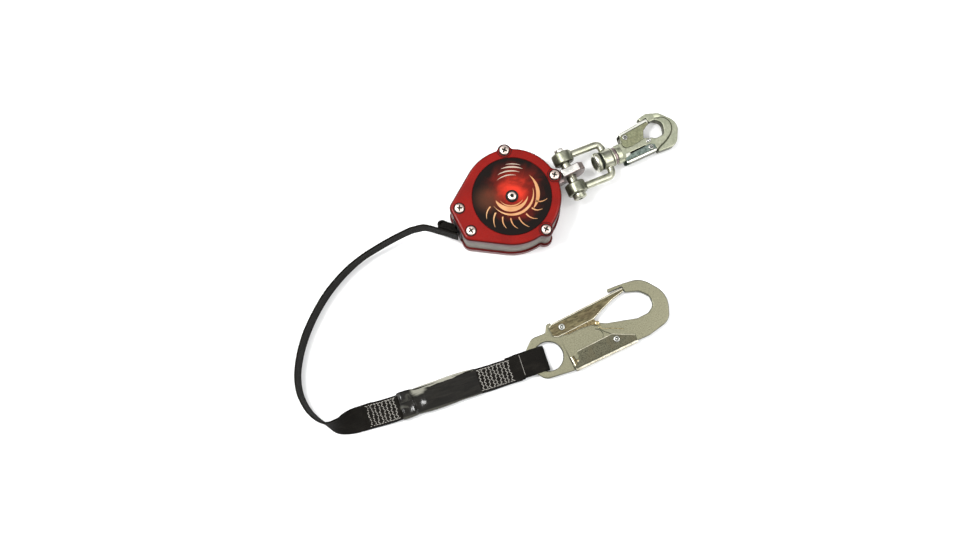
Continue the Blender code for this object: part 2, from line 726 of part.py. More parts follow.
def make_anchor_hook(swivel, gate_axis, lever_axis):
    """The small hook on the swivel, drawn in the connector's frame."""
    body = prism("anchor_hook_body", anchor_body_outline(), -HOOK_HALF, HOOK_HALF, ZINC)
    ease(body, 0.9)
    profile = [(0, 51.7), (8.6, 51.7), (9.0, 52.2), (9.0, 56.0), (8.0, 57.2), (0, 57.2)]
    collar = lathe("anchor_hook_collar", profile, steps=20, axis="X")
    carve(body, collar, join=True)
    carve(body, rod("anchor_neck_bore", 5.2, 50.0, 56.3, steps=20, axis="X"))
    for k, place in enumerate((ANCHOR_GATE_PIVOT, ANCHOR_LEVER_PIVOT)):
        carve(body, rod(f"anchor_pivot_{k}", 2.1, -9.0, 9.0, steps=16, center=(*place, 0)))
    half = HOOK_HALF + GAP + GATE_SKIN
    gate_room = [(50, -6), (105, -6), (105, 12), (98.6, 14), (94.6, 20.9), (63, 16.7), (50, 14)]
    gate = channel("anchor_gate", anchor_gate_outline(), gate_room, -half, half, GATE_SKIN, ZINC)
    lever_room = [(50, -15), (62.5, -15), (62.5, -10.9), (98, -9.3), (98, 9), (50, 9)]
    lever = channel("anchor_lock_lever", anchor_lever_outline(), lever_room, -half, half, GATE_SKIN, ZINC)
    for k, (piece, place) in enumerate(((gate, ANCHOR_GATE_PIVOT), (lever, ANCHOR_LEVER_PIVOT))):
        carve(piece, rod(f"anchor_skin_bore_{k}", 2.1, -9.0, 9.0, steps=16, center=(*place, 0)))
    tip = half + 0.9
    pins = [rivet("anchor_gate_rivet", ANCHOR_GATE_PIVOT, 1.8, 2.8, -tip, tip, 0.6),
            rivet("anchor_lever_rivet", ANCHOR_LEVER_PIVOT, 1.8, 2.8, -tip, tip, 0.6)]
    adopt(swivel, [body, *pins], (-SWIVEL_X, 0.0, 0.0))
    adopt(gate_axis, [gate], (-ANCHOR_GATE_PIVOT[0], -ANCHOR_GATE_PIVOT[1], 0.0))
    adopt(lever_axis, [lever], (-ANCHOR_LEVER_PIVOT[0], -ANCHOR_LEVER_PIVOT[1], 0.0))


# ---------------------------------------------------------------- webbing

def stop_outline():
    """The folded webbing that lies across the mouth, (x, y, radius)."""
    corners = [(-61.3, -9.4, 1.0), (-61.3, 2.6, 1.0), (-66.2, 7.6, 3.0), (-69.8, 12.6, 3.0)]
    corners += [(-75.0, 12.0, 3.0), (-75.9, 8.9, 1.0), (-76.45, 7.5, 0.0), (-77.8, 5.9, 0.0)]
    corners += [(-67.6, -5.6, 6.0)]
    return corners


# The lifeline's centre line from the webbing stop to the pack, (x, y, z, lean): lean is how far
# the webbing's upper edge leans into the bow, from upright at 0 to flat at 90 degrees.
ROUTE = (
    (-77.9, 7.4, 23.4, 0),
    (-87.4, 15.9, 22.9, 0),
    (-95.9, 19.1, 21.2, 0),
    (-104.4, 20.9, 19.0, 0),
    (-120.8, 21.6, 16.4, 0),
    (-137.8, 21.0, 14.7, 0),
    (-155.6, 19.4, 13.5, 0),
    (-174.6, 14.8, 12.9, -2),
    (-191.5, 8.2, 12.8, -3),
    (-206.9, 0.2, 12.8, -4),
    (-223.8, -11.4, 12.8, -4),
    (-239.6, -24.9, 12.8, -5),
    (-252.8, -39.7, 12.8, -5),
    (-263.4, -56.0, 12.8, -5),
    (-269.3, -72.6, 12.8, -6),
    (-269.9, -88.6, 12.8, -6),
    (-266.6, -101.4, 12.8, -6),
    (-260.4, -111.4, 12.8, 0),
    (-251.6, -117.6, 11.6, 28),
    (-240.6, -120.1, 7.6, 58),
    (-228.9, -121.8, 3.6, 84),
)


def smooth_route(points, spacing):
    """Points read at even steps from a curve through a route's own points."""
    knots = [Vector(p) for p in points]
    knots = [knots[0] * 2 - knots[1]] + knots + [knots[-1] * 2 - knots[-2]]
    dense = []
    for a, b, c, d in zip(knots, knots[1:], knots[2:], knots[3:]):
        for k in range(12):
            t = k / 12
            dense.append(0.5 * (b * 2 + (c - a) * t + (a * 2 - b * 5 + c * 4 - d) * t * t
                                + (b * 3 - a - c * 3 + d) * t**3))
    dense.append(knots[-2])
    total = sum((b.to_3d() - a.to_3d()).length for a, b in zip(dense, dense[1:]))
    count = max(2, round(total / spacing))
    even = [dense[0]]
    walked = 0.0
    for a, b in zip(dense, dense[1:]):
        step = (b.to_3d() - a.to_3d()).length
        while len(even) < count and walked + step >= total * len(even) / count:
            even.append(a.lerp(b, (total * len(even) / count - walked) / step))
        walked += step
    even.append(dense[-1])
    return even


def ribbon(name, stations, width, thick, look):
    """Flat webbing through (x, y, z, lean) stations."""
    rings = []
    for i, here in enumerate(stations):
        ahead = stations[min(i + 1, len(stations) - 1)].to_3d()
        behind = stations[max(i - 1, 0)].to_3d()
        along = (ahead - behind).normalized()
        level = Vector((0, 0, 1)).cross(along).normalized()
        upright = along.cross(level).normalized()
        lean = radians(here.w)
        edge = upright * cos(lean) + level * sin(lean)
        face = edge.cross(along).normalized()
        center = here.to_3d()
        ring = []
        for a, b in ((1, 0.5), (1, -0.5), (-1, -0.5), (-1, 0.5)):
            ring.append(tuple(center + edge * (a * width / 2) + face * (b * thick)))
        rings.append(ring)
    return stack(name, rings, look)


def make_lifeline(axis):
    """Everything that pays out: the tail in the casing, the stop, the bow, the absorber pack."""
    foot, along, normal = tail_line()
    tail = prism("webbing_tail", strip(0.5, 46.4, -WEB_THICK / 2, WEB_THICK / 2), WEB_LOW, WEB_HIGH, WEBBING)
    stop = prism("webbing_stop", rounded(stop_outline()), WEB_LOW, WEB_HIGH, WEBBING)
    stations = smooth_route(ROUTE, 6.5)
    webbing = ribbon("lifeline_webbing", stations, 25.0, WEB_THICK, WEBBING)
    shift = (-foot.x, -foot.y, 0.0)
    adopt(axis, [tail, stop, webbing], shift)


def make_pack(pack_axis):
    """The folded absorber webbing and the sleeve shrunk on it, in the pack's own frame."""
    profile = [(-88.8, 1.6, 0), (-85.0, 0.4, 1), (-53.0, 0.4, 0), (-50.5, 1.0, 0), (31.5, 1.0, 0)]
    profile += [(34.0, 0.4, 0), (71.5, 0.4, 1), (71.5, 8.6, 1), (32.0, 8.6, 4)]
    profile += [(-50.0, 8.6, 4), (-83.0, 7.0, 4), (-88.8, 4.4, 0)]
    pack = upright_prism("absorber_pack", rounded(profile), -13.4, 11.9, WEBBING)
    profile = [(-50.0, 0.05, 2), (31.0, 0.05, 2), (31.0, 9.4, 3)]
    profile += [(-32.0, 9.4, 6), (-36.0, 11.0, 4), (-50.0, 11.0, 2)]
    sleeve = upright_prism("absorber_sleeve", rounded(profile), -14.8, 13.2, SLEEVE)
    ease(sleeve, 1.0)
    room = upright_prism("sleeve_room", rectangle((-60.0, 0.7), (40.0, 8.9)), -13.7, 12.2)
    carve(sleeve, room)
    adopt(pack_axis, [pack, sleeve])


def make_webbing_loop(loop_axis, shift):
    """The eye of webbing round the hook's bar, in the pack's own frame."""
    outer = rounded([(72.0, 0.2, 1), (102.0, 0.2, 4.6), (102.0, 10.6, 4.6), (80.0, 10.6, 6), (72.0, 8.4, 1)])
    loop = upright_prism("webbing_loop", outer, -12.0, 13.0, WEBBING)
    inner = rounded([(78.0, 2.5, 0.5), (99.7, 2.5, 2.4), (99.7, 8.2, 2.4), (81.0, 8.2, 4), (78.0, 6.6, 0.5)])
    carve(loop, upright_prism("loop_room", inner, -20.0, 20.0))
    adopt(loop_axis, [loop], shift)


# ---------------------------------------------------------------- line hook

LINE_GATE_PIVOT = (-34.0, 18.0)
LINE_LEVER_PIVOT = (10.0, -15.5)


def line_body_outline():
    """The big hook's plate, from the eye along the back, round the bend to the nose."""
    corners = [(-79.0, -8.0, 14.0), (-70.0, -22.0, 10.0), (-40.0, -26.0, 8.0), (-38.5, -25.8, 0.5)]
    corners += [(-37.0, -17.2, 1.0), (0.0, -20.2, 8.0), (19.0, -25.0, 2.0), (42.0, -25.5, 10.0)]
    corners += [(66.0, -20.5, 14.0), (76.4, 4.0, 24.0), (58.5, 29.6, 22.0), (41.0, 32.0, 8.0)]
    corners += [(23.2, 33.4, 1.2), (22.6, 30.0, 0.8), (37.6, 29.4, 0.6), (38.4, 23.0, 0.8)]
    corners += [(50.0, 19.2, 10.0), (59.5, 8.5, 7.0), (52.5, -5.5, 8.0), (38.0, -5.4, 12.0)]
    corners += [(8.0, 3.0, 10.0), (-5.0, 9.5, 3.0), (-22.0, 11.0, 3.0), (-25.0, 19.0, 2.0)]
    corners += [(-33.0, 22.7, 3.0), (-42.2, 22.4, 0.8), (-42.6, 26.8, 1.0), (-47.0, 26.8, 3.0)]
    corners += [(-51.0, 19.6, 3.0), (-66.0, 20.6, 10.0), (-80.5, 8.0, 14.0)]
    return rounded(corners, 18.0)


def line_gate_outline():
    corners = [(-46.5, 13.0, 4.0), (-41.0, 10.5, 3.0), (-2.0, 12.0, 0.6), (10.0, 17.0, 6.0)]
    corners += [(24.0, 22.0, 6.0)]
    corners += [(37.2, 24.6, 0.8), (37.2, 28.7, 0.8), (-40.0, 25.4, 3.0), (-46.5, 23.0, 3.0)]
    return rounded(corners)


def line_lever_outline():
    corners = [(-40.8, -20.5, 1.0), (-38.4, -27.6, 0.8), (28.3, -26.9, 0.8), (28.6, -19.2, 1.0)]
    corners += [(8.0, -8.6, 3.0), (-30.5, -9.8, 1.5), (-33.0, -19.0, 1.0)]
    return rounded(corners)


def make_line_hook(hook_axis, gate_axis, lever_axis, shift):
    """The big double locking hook, drawn in its own frame, with its flat sides up and down."""
    body = prism("line_hook_body", line_body_outline(), PLATE_LOW, PLATE_HIGH, YELLOW_ZINC)
    ease(body, 0.7)
    carve(body, rod("hook_eye", 14.6, 0.0, 12.0, steps=32, center=(-58.0, -2.6, 0)))
    for k, place in enumerate((LINE_GATE_PIVOT, LINE_LEVER_PIVOT)):
        carve(body, rod(f"line_pivot_{k}", 2.5, 0.0, 12.0, steps=16, center=(*place, 0)))
    low = PLATE_LOW - GAP - FOLD
    high = PLATE_HIGH + GAP + FOLD
    gate_room = [(-60, 0), (45, 0), (45, 20.5), (38.5, 26.9), (-41.0, 23.4), (-41.0, 30), (-60, 30)]
    gate = channel("line_gate", line_gate_outline(), gate_room, low, high, FOLD, BRONZE_ZINC)
    lever_room = [(-60, -30), (-35, -30), (-35, -26.3), (40, -25.7), (40, 0), (-60, 0)]
    lever = channel("line_lock_lever", line_lever_outline(), lever_room, low, high, FOLD, BRONZE_ZINC)
    for k, (piece, place) in enumerate(((gate, LINE_GATE_PIVOT), (lever, LINE_LEVER_PIVOT))):
        carve(piece, rod(f"line_skin_bore_{k}", 2.5, -2.0, 14.0, steps=16, center=(*place, 0)))
    pins = [rivet("line_gate_rivet", LINE_GATE_PIVOT, 2.2, 3.3, 0.0, high + 1.2, 0.85),
            rivet("line_lever_rivet", LINE_LEVER_PIVOT, 2.2, 3.3, 0.0, high + 1.2, 0.85)]
    adopt(hook_axis, [body, *pins], shift)
    for axis, piece, pivot in ((gate_axis, gate, LINE_GATE_PIVOT), (lever_axis, lever, LINE_LEVER_PIVOT)):
        adopt(axis, [piece], (-pivot[0], -pivot[1], 0.0))


# ---------------------------------------------------------------- assembly


def make_casing():
    make_rear_cover()
    make_center_ring()
    make_front_cover()
    make_label()
    make_fasteners()
    make_exit_guide()
    make_bracket()
    make_axle()
    make_ratchet_ring()


def make_drum_group():
    drum_axis = axis_at("drum_axis", (0, 0, 0))
    make_drum(drum_axis)
    make_power_spring(drum_axis)
    for k, turn in enumerate((90.0, 270.0)):
        letter = "ab"[k]
        place = (*polar(PAWL_AT, turn), 0)
        pawl_axis = axis_at(f"pawl_axis_{letter}", place, drum_axis, (0, 0, turn - 90.0))
        make_pawl(f"pawl_{letter}", pawl_axis)


def make_connector_group():
    clevis_axis = axis_at("clevis_axis", (PIN_X, 0, PIN_Z), None, (0, DROOP, YAW))
    make_shackle(clevis_axis)
    make_clevis_pin(clevis_axis)
    swivel_axis = axis_at("swivel_axis", (SWIVEL_X, 0, 0), clevis_axis)
    make_swivel(swivel_axis)
    gate_at = (ANCHOR_GATE_PIVOT[0] - SWIVEL_X, ANCHOR_GATE_PIVOT[1], 0)
    lever_at = (ANCHOR_LEVER_PIVOT[0] - SWIVEL_X, ANCHOR_LEVER_PIVOT[1], 0)
    gate_axis = axis_at("anchor_gate_axis", gate_at, swivel_axis)
    lever_axis = axis_at("anchor_lever_axis", lever_at, swivel_axis)
    make_anchor_hook(swivel_axis, gate_axis, lever_axis)


def make_line_group():
    foot, along, normal = tail_line()
    payout_axis = axis_at("payout_axis", (foot.x, foot.y, 0))
    make_lifeline(payout_axis)
    back = (-foot.x, -foot.y)
    pack_place = (PACK_AT[0] + back[0], PACK_AT[1] + back[1], 0)
    pack_axis = axis_at("pack_axis", pack_place, payout_axis, (0, 0, PACK_TURN))
    make_pack(pack_axis)
    hinge_axis = axis_at("line_hook_axis", (76.0, 0, 5.0), pack_axis)
    make_webbing_loop(hinge_axis, (-76.0, 0, -5.0))
    turn = Matrix.Rotation(radians(-PACK_TURN), 2)
    place = turn @ (Vector(LINE_HOOK_AT) - Vector(PACK_AT))
    hook_place = (place.x - 76.0, place.y, -5.0)
    hook_frame = axis_at("line_hook_frame", hook_place, hinge_axis, (0, 0, LINE_HOOK_TURN - PACK_TURN))
    gate_axis = axis_at("line_gate_axis", (*LINE_GATE_PIVOT, 0), hook_frame)
    lever_axis = axis_at("line_lever_axis", (*LINE_LEVER_PIVOT, 0), hook_frame)
    make_line_hook(hook_frame, gate_axis, lever_axis, (0, 0, 0))


def main():
    clear_scene()
    make_casing()
    make_drum_group()
    make_connector_group()
    make_line_group()


main()
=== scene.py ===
"""A self retracting lifeline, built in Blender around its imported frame: the casing, the anchor
connector, the webbing with its energy absorber pack, and the double locking hook."""
import bmesh
import bpy
import random
from math import acos, asin, atan2, ceil, cos, degrees, hypot, pi, radians, sin, tan
from mathutils import Euler, Matrix, Vector, noise


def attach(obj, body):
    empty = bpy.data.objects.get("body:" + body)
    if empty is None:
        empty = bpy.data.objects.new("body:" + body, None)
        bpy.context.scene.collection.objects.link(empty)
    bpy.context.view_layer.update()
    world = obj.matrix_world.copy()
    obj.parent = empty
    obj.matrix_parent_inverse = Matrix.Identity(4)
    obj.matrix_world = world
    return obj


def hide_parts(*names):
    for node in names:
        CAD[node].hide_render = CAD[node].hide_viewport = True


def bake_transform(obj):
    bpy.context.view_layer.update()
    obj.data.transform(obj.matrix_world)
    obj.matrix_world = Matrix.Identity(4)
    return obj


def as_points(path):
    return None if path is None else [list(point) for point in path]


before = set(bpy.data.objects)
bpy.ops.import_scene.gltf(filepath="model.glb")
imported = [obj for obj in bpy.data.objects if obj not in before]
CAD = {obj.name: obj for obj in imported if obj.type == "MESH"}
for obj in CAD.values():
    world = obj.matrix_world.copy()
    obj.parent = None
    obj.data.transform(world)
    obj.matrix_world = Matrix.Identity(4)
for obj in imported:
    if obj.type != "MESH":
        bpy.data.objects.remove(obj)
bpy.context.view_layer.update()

MM = 0.001
GAP = 0.3

# Casing, in millimetres
BODY_R = 48.5
EAR_R = 7.0
EAR_AT = 46.7
EAR_ANGLES = (0.0, 72.0, -72.0)
EAR_FILLET = 4.0
CHIN_X = -52.0
CHIN_Y = 14.0
CHIN_R = 8.0
WALL = 4.3
REAR_TOP = 10.8
RING_LOW = 11.1
RING_HIGH = 38.9
FRONT_LOW = 39.2
CASE_TOP = 49.0
FRONT_ROOF = 46.0
LABEL_R = 38.6
LABEL_LOW = 48.2
LABEL_TOP = 48.8
INK_TOP = 48.84
SCREW_SEAT = 48.2
HEAD_R = 4.7
SEAT_R = 5.6
REAR_PROUD = 0.8
HEAD_HIGH = 2.6
CHIN_SCREWS = ((-51.0, 12.5), (-51.0, -12.5))
LUG_HALF = 4.0
LUG_EDGE = 1.1
MOUTH = ((-70.0, -8.65, 8.5), (-50.0, 8.65, 38.3))

# Webbing
WEB_THICK = 2.2
UP = Vector((0, 0, 1))
WEB_WIDE = 25.0
WEB_LOW = 10.9
WEB_HIGH = 35.9
PAYOUT_R = 38.4
POST_R = 3.9

# Connector, hook and pack frames
PIN_X = 65.0
PIN_Z = 23.0
YAW = -3.3
NOSE_X = 122.8
NOSE_Z = 4.5
DROOP = asin(PIN_Z / hypot(NOSE_X, NOSE_Z)) - atan2(NOSE_Z, NOSE_X)
LEAN = Euler((0, DROOP, radians(YAW))).to_matrix().to_4x4()
CONNECTOR = Matrix.Translation((PIN_X, 0, PIN_Z)) @ LEAN
PACK = Matrix.Translation((-139.6, -136.0, 0)) @ Matrix.Rotation(radians(-9.1), 4, "Z")
LINE_HOOK = Matrix.Translation((21.3, -151.0, 0)) @ Matrix.Rotation(radians(-2.1), 4, "Z")
PLATE_LOW = 2.8
PLATE_HIGH = 7.8
FOLD = 1.3

# Camera: the view's width in pixels, its focal length, and where it stands, in millimetres and degrees
VIEW_WIDE = 978
FOCAL_PIXELS = 1300.0
SENSOR = 36.0
CAMERA_AWAY = 1300.0
CAMERA_RISE = 79.5
CAMERA_TURN = -27.1
CAMERA_CENTER = (-22.3, -68.9, 0)
GROUND_HALF = 3.0
GROUND_DROP = 0.0003


# ---------------------------------------------------------------- camera and light

def aim_camera():
    """The camera looks almost straight down from a little below the middle of the view."""
    rise = radians(CAMERA_RISE)
    turn = Matrix.Rotation(radians(CAMERA_TURN), 4, "Z") @ Matrix.Translation(CAMERA_CENTER)
    eye = Vector((0, -CAMERA_AWAY * cos(rise), CAMERA_AWAY * sin(rise)))
    back = eye.normalized()
    right = Vector((1, 0, 0))
    up = back.cross(right)
    pose = Matrix((right, up, back)).transposed().to_4x4()
    pose.translation = eye
    pose = turn @ pose
    pose.translation *= MM
    data = bpy.data.cameras.new("camera")
    data.sensor_width = SENSOR
    data.lens = FOCAL_PIXELS / VIEW_WIDE * SENSOR
    data.clip_start = 0.05
    data.clip_end = 20.0
    camera = bpy.data.objects.new("camera", data)
    camera.matrix_world = pose
    bpy.context.scene.collection.objects.link(camera)
    bpy.context.scene.camera = camera


def add_area(name, place, target, size, power):
    data = bpy.data.lights.new(name, "AREA")
    data.shape = "RECTANGLE"
    data.size = size[0]
    data.size_y = size[1]
    data.energy = power
    light = bpy.data.objects.new(name, data)
    light.location = place
    light.rotation_euler = (Vector(target) - Vector(place)).to_track_quat("-Z", "Y").to_euler()
    bpy.context.scene.collection.objects.link(light)


# ---------------------------------------------------------------- material nodes

class Nodes:
    """A material's node tree, with short calls for the nodes that the looks below share."""

    def __init__(self, name):
        self.material = bpy.data.materials.new(name)
        self.material.use_nodes = True
        self.tree = self.material.node_tree
        self.shader = self.tree.nodes["Principled BSDF"]

    def node(self, kind, inputs=(), **facts):
        made = self.tree.nodes.new("ShaderNode" + kind)
        for key, value in facts.items():
            setattr(made, key, value)
        for key, value in dict(inputs).items():
            self.put(made.inputs[key], value)
        return made

    def put(self, socket, value):
        if isinstance(value, bpy.types.NodeSocket):
            self.tree.links.new(value, socket)
        else:
            socket.default_value = value

    def local(self, name="local"):
        return self.node("Attribute", attribute_name=name).outputs["Vector"]

    def scaled(self, vector, scale):
        return self.node("VectorMath", {0: vector, 1: scale}, operation="MULTIPLY").outputs[0]

    def noise(self, vector, scale, detail=3.0, rough=0.5, distort=0.0):
        return self.node("TexNoise", {"Vector": vector, "Scale": scale, "Detail": detail,
                                      "Roughness": rough, "Distortion": distort}).outputs[0]

    def calc(self, kind, a, b=0.0):
        return self.node("Math", {0: a, 1: b, 2: 0.0}, operation=kind).outputs[0]

    def plus(self, a, b):
        return self.calc("ADD", a, b)

    def times(self, a, b):
        return self.calc("MULTIPLY", a, b)

    def distance(self, vector, center):
        away = self.node("VectorMath", {0: vector, 1: center}, operation="SUBTRACT").outputs[0]
        return self.node("VectorMath", {0: away}, operation="LENGTH").outputs["Value"]

    def spread(self, value, low, high, to_low=0.0, to_high=1.0, smooth=True):
        return self.node("MapRange", {0: value, 1: low, 2: high, 3: to_low, 4: to_high},
                         interpolation_type="SMOOTHSTEP" if smooth else "LINEAR").outputs[0]

    def parts(self, vector):
        return self.node("SeparateXYZ", {0: vector}).outputs

    def blend(self, share, a, b):
        made = self.node("Mix", data_type="RGBA")
        self.put(made.inputs[0], share)
        self.put(made.inputs[6], (*a, 1) if isinstance(a, tuple) else a)
        self.put(made.inputs[7], (*b, 1) if isinstance(b, tuple) else b)
        return made.outputs[2]

    def bump(self, height, depth, strength=1.0, after=None):
        made = self.node("Bump", {"Height": height, "Distance": depth * MM, "Strength": strength})
        if after is not None:
            self.put(made.inputs["Normal"], after)
        return made.outputs[0]

    def set(self, **values):
        names = {"color": "Base Color", "rough": "Roughness", "metal": "Metallic", "normal": "Normal",
                 "coat": "Coat Weight", "coat_rough": "Coat Roughness", "sheen": "Sheen Weight",
                 "sheen_rough": "Sheen Roughness", "specular": "Specular IOR Level"}
        for key, value in values.items():
            if key == "color" and isinstance(value, tuple):
                value = (*value, 1)
            self.put(self.shader.inputs[names[key]], value)
        return self.material


def plastic_look(name, color, worn, rough, grain=0.02, specular=0.25, coat=0.0):
    n = Nodes(name)
    spot = n.local()
    cloud = n.noise(spot, 0.06, 4.0)
    fine = n.noise(spot, 1.6, 3.0, 0.6)
    scuff = n.spread(n.noise(n.scaled(spot, (0.25, 1.1, 0.6)), 0.9, 6.0, 0.7, 0.6), 0.60, 0.76)
    tone = n.blend(n.spread(cloud, 0.3, 0.7, 0.0, 0.75), color, worn)
    tone = n.blend(n.times(scuff, 0.14), tone, tuple(min(1.0, c * 1.5 + 0.02) for c in worn))
    gloss = n.plus(n.spread(fine, 0.3, 0.7, rough - 0.05, rough + 0.05), n.times(scuff, 0.12))
    return n.set(color=tone, rough=gloss, normal=n.bump(fine, grain), specular=specular, coat=coat,
                 coat_rough=0.12)


def metal_look(name, bright, dull, rough, stain=None, grain=0.012, streak=(1.0, 1.0, 1.0),
               mottling=0.16, dirt=0.35):
    """Plated steel: a mottled passivated coat over a slightly uneven forged or rolled surface."""
    n = Nodes(name)
    spot = n.local()
    mottle = n.noise(n.scaled(spot, streak), mottling, 5.0, 0.62, 0.4)
    speck = n.noise(spot, 1.1, 4.0, 0.65)
    fine = n.noise(n.scaled(spot, streak), 3.0, 2.0)
    tone = n.blend(n.spread(mottle, 0.34, 0.66), dull, bright)
    tone = n.blend(n.times(n.spread(speck, 0.5, 0.75), dirt), tone, tuple(c * 0.55 for c in dull))
    if stain:
        cloud = n.spread(n.noise(spot, 0.09, 3.0, 0.5, 1.2), 0.46, 0.66)
        tone = n.blend(n.times(cloud, 0.55), tone, stain)
    gloss = n.plus(n.spread(mottle, 0.3, 0.7, rough - 0.04, rough + 0.08),
                   n.spread(fine, 0.35, 0.75, -0.03, 0.05))
    dents = n.bump(n.spread(n.noise(spot, 0.25, 2.0), 0.35, 0.7), grain)
    return n.set(color=tone, rough=gloss, metal=1.0, normal=n.bump(speck, grain, 1.0, dents))


def webbing_look(name, dark, light):
    """Woven webbing, read from each strap's own lengthwise and crosswise millimetres."""
    n = Nodes(name)
    strap = n.local("strap")
    along, across, _ = n.parts(strap)
    lift = n.times(n.calc("FLOOR", n.times(across, 0.9)), 0.5)
    pick = n.calc("FRACT", n.plus(n.times(along, 0.42), lift))
    rib = n.calc("SINE", n.times(n.calc("FRACT", n.times(across, 0.9)), pi))
    over = n.calc("SINE", n.times(pick, pi))
    weave = n.times(n.calc("POWER", rib, 0.6), n.calc("POWER", over, 0.7))
    thread = n.noise(n.scaled(strap, (5.0, 1.2, 1.0)), 2.4, 3.0, 0.6)
    wear = n.noise(n.scaled(strap, (0.05, 0.12, 1.0)), 1.0, 4.0, 0.6)
    height = n.plus(weave, n.times(thread, 0.35))
    tone = n.blend(n.times(weave, n.spread(thread, 0.3, 0.8, 0.35, 1.0)), dark, light)
    tone = n.blend(n.spread(wear, 0.45, 0.8, 0.0, 0.5), tone, tuple(c * 1.6 for c in light))
    rough = n.spread(thread, 0.3, 0.7, 0.6, 0.8)
    return n.set(color=tone, rough=rough, normal=n.bump(height, 0.3), sheen=0.005, sheen_rough=0.4,
                 specular=0.07)


def thread_look(name, color):
    n = Nodes(name)
    twist = n.noise(n.scaled(n.local(), (3.0, 3.0, 3.0)), 2.5, 2.0)
    tone = n.blend(n.spread(twist, 0.35, 0.7), tuple(c * 0.6 for c in color), color)
    return n.set(color=tone, rough=n.spread(twist, 0.3, 0.7, 0.6, 0.85), normal=n.bump(twist, 0.1),
                 sheen=0.1, specular=0.2)


def film_look(name):
    """The shrunk sleeve: glossy black film, milky where it stands off the webbing along its upper edge."""
    n = Nodes(name)
    spot = n.local()
    x, y, _ = n.parts(spot)
    cloud = n.noise(n.scaled(spot, (0.05, 0.3, 0.2)), 1.0, 4.0, 0.6, 0.5)
    slope = n.spread(x, -34.0, 30.0, 7.4, 11.4, False)
    edge = n.plus(n.calc("SUBTRACT", y, slope), n.spread(cloud, 0.3, 0.7, -1.4, 1.4))
    rim = n.times(n.spread(edge, 0.0, 1.3), n.spread(x, -37.0, -32.0))
    corner = n.distance(n.scaled(spot, (0.55, 1.0, 0.0)), (-15.4, 8.6, 0.0))
    patch = n.spread(n.plus(corner, n.spread(cloud, 0.3, 0.7, -1.0, 1.0)), 5.2, 2.0)
    under = n.spread(n.plus(y, 13.2), 1.4, 0.0)
    fog = n.spread(n.noise(spot, 0.11, 3.0, 0.5, 0.8), 0.52, 0.72)
    cap = n.times(n.spread(x, -33.0, -38.0), fog)
    milky = n.times(rim, n.spread(cloud, 0.3, 0.62, 0.5, 1.0))
    milky = n.calc("MAXIMUM", milky, n.times(cap, 0.16))
    milky = n.calc("MAXIMUM", milky, n.times(under, 0.16))
    milky = n.calc("MAXIMUM", milky, n.times(patch, 0.75))
    tone = n.blend(n.spread(cloud, 0.35, 0.7), (0.0045, 0.0040, 0.0030), (0.010, 0.0088, 0.0068))
    tone = n.blend(milky, tone, (0.255, 0.25, 0.205))
    pucker = n.noise(n.scaled(spot, (0.12, 0.05, 0.3)), 1.0, 3.0, 0.55, 0.7)
    return n.set(color=tone, rough=n.spread(cloud, 0.3, 0.7, 0.12, 0.17), normal=n.bump(pucker, 0.3, 0.28),
                 specular=0.16, coat=0.04, coat_rough=0.06)


def label_look(name):
    """A printed disc: a warm glow near the middle that falls away to black."""
    n = Nodes(name)
    spot = n.local()
    far = n.distance(n.scaled(spot, (1.0, 1.0, 0.0)), (4.0, 2.0, 0.0))
    smoke = n.noise(spot, 0.045, 4.0, 0.55, 0.8)
    reach = n.plus(far, n.spread(smoke, 0.3, 0.7, -5.0, 5.0))
    tone = n.blend(n.spread(reach, 12.0, 33.0), (0.13, 0.010, 0.006), (0.0065, 0.0045, 0.0038))
    haze = n.spread(n.distance(spot, (-22.0, 8.0, LABEL_TOP)), 18.0, 3.0, 0.0, 0.5)
    tone = n.blend(haze, tone, (0.10, 0.035, 0.018))
    tone = n.blend(n.spread(reach, 3.0, 17.0), (0.50, 0.030, 0.015), tone)
    fine = n.noise(spot, 2.0, 2.0)
    return n.set(color=tone, rough=n.spread(fine, 0.3, 0.7, 0.26, 0.34), normal=n.bump(fine, 0.008),
                 specular=0.06)


def floor_look(name):
    n = Nodes(name)
    cloud = n.noise(n.node("TexCoord").outputs["Object"], 1.2, 2.0)
    tone = n.blend(n.spread(cloud, 0.3, 0.7), (0.915, 0.915, 0.91), (0.93, 0.93, 0.925))
    return n.set(color=tone, rough=0.9, specular=0.1)


# Each plastic's colour, its worn colour and its roughness, and what sets it apart
PLASTICS = {
    "cover_red": ((0.180, 0.0040, 0.0018), (0.132, 0.0033, 0.0018), 0.28, {"specular": 0.12, "coat": 0.03}),
    # rim_dark: painted shade, a darker red for the covers' side walls, outer rims and grooves
    "rim_dark": ((0.060, 0.003, 0.003), (0.040, 0.0025, 0.0025), 0.36, {"specular": 0.12}),
    "rear_red": ((0.105, 0.004, 0.004), (0.075, 0.003, 0.003), 0.36, {"specular": 0.15}),
    "band_grey": ((0.150, 0.132, 0.108), (0.105, 0.092, 0.075), 0.5, {"grain": 0.05}),
    # black_plastic: black plastic parts, and painted shade on the front cover's screw seats
    "black_plastic": ((0.007, 0.0065, 0.006), (0.011, 0.010, 0.009), 0.4,
                      {"grain": 0.04, "specular": 0.12}),
    "print_tan": ((0.40, 0.185, 0.075), (0.52, 0.31, 0.155), 0.34, {"grain": 0.01, "specular": 0.1}),
    "print_pale": ((0.34, 0.27, 0.21), (0.45, 0.38, 0.30), 0.34, {"grain": 0.01, "specular": 0.1}),
}
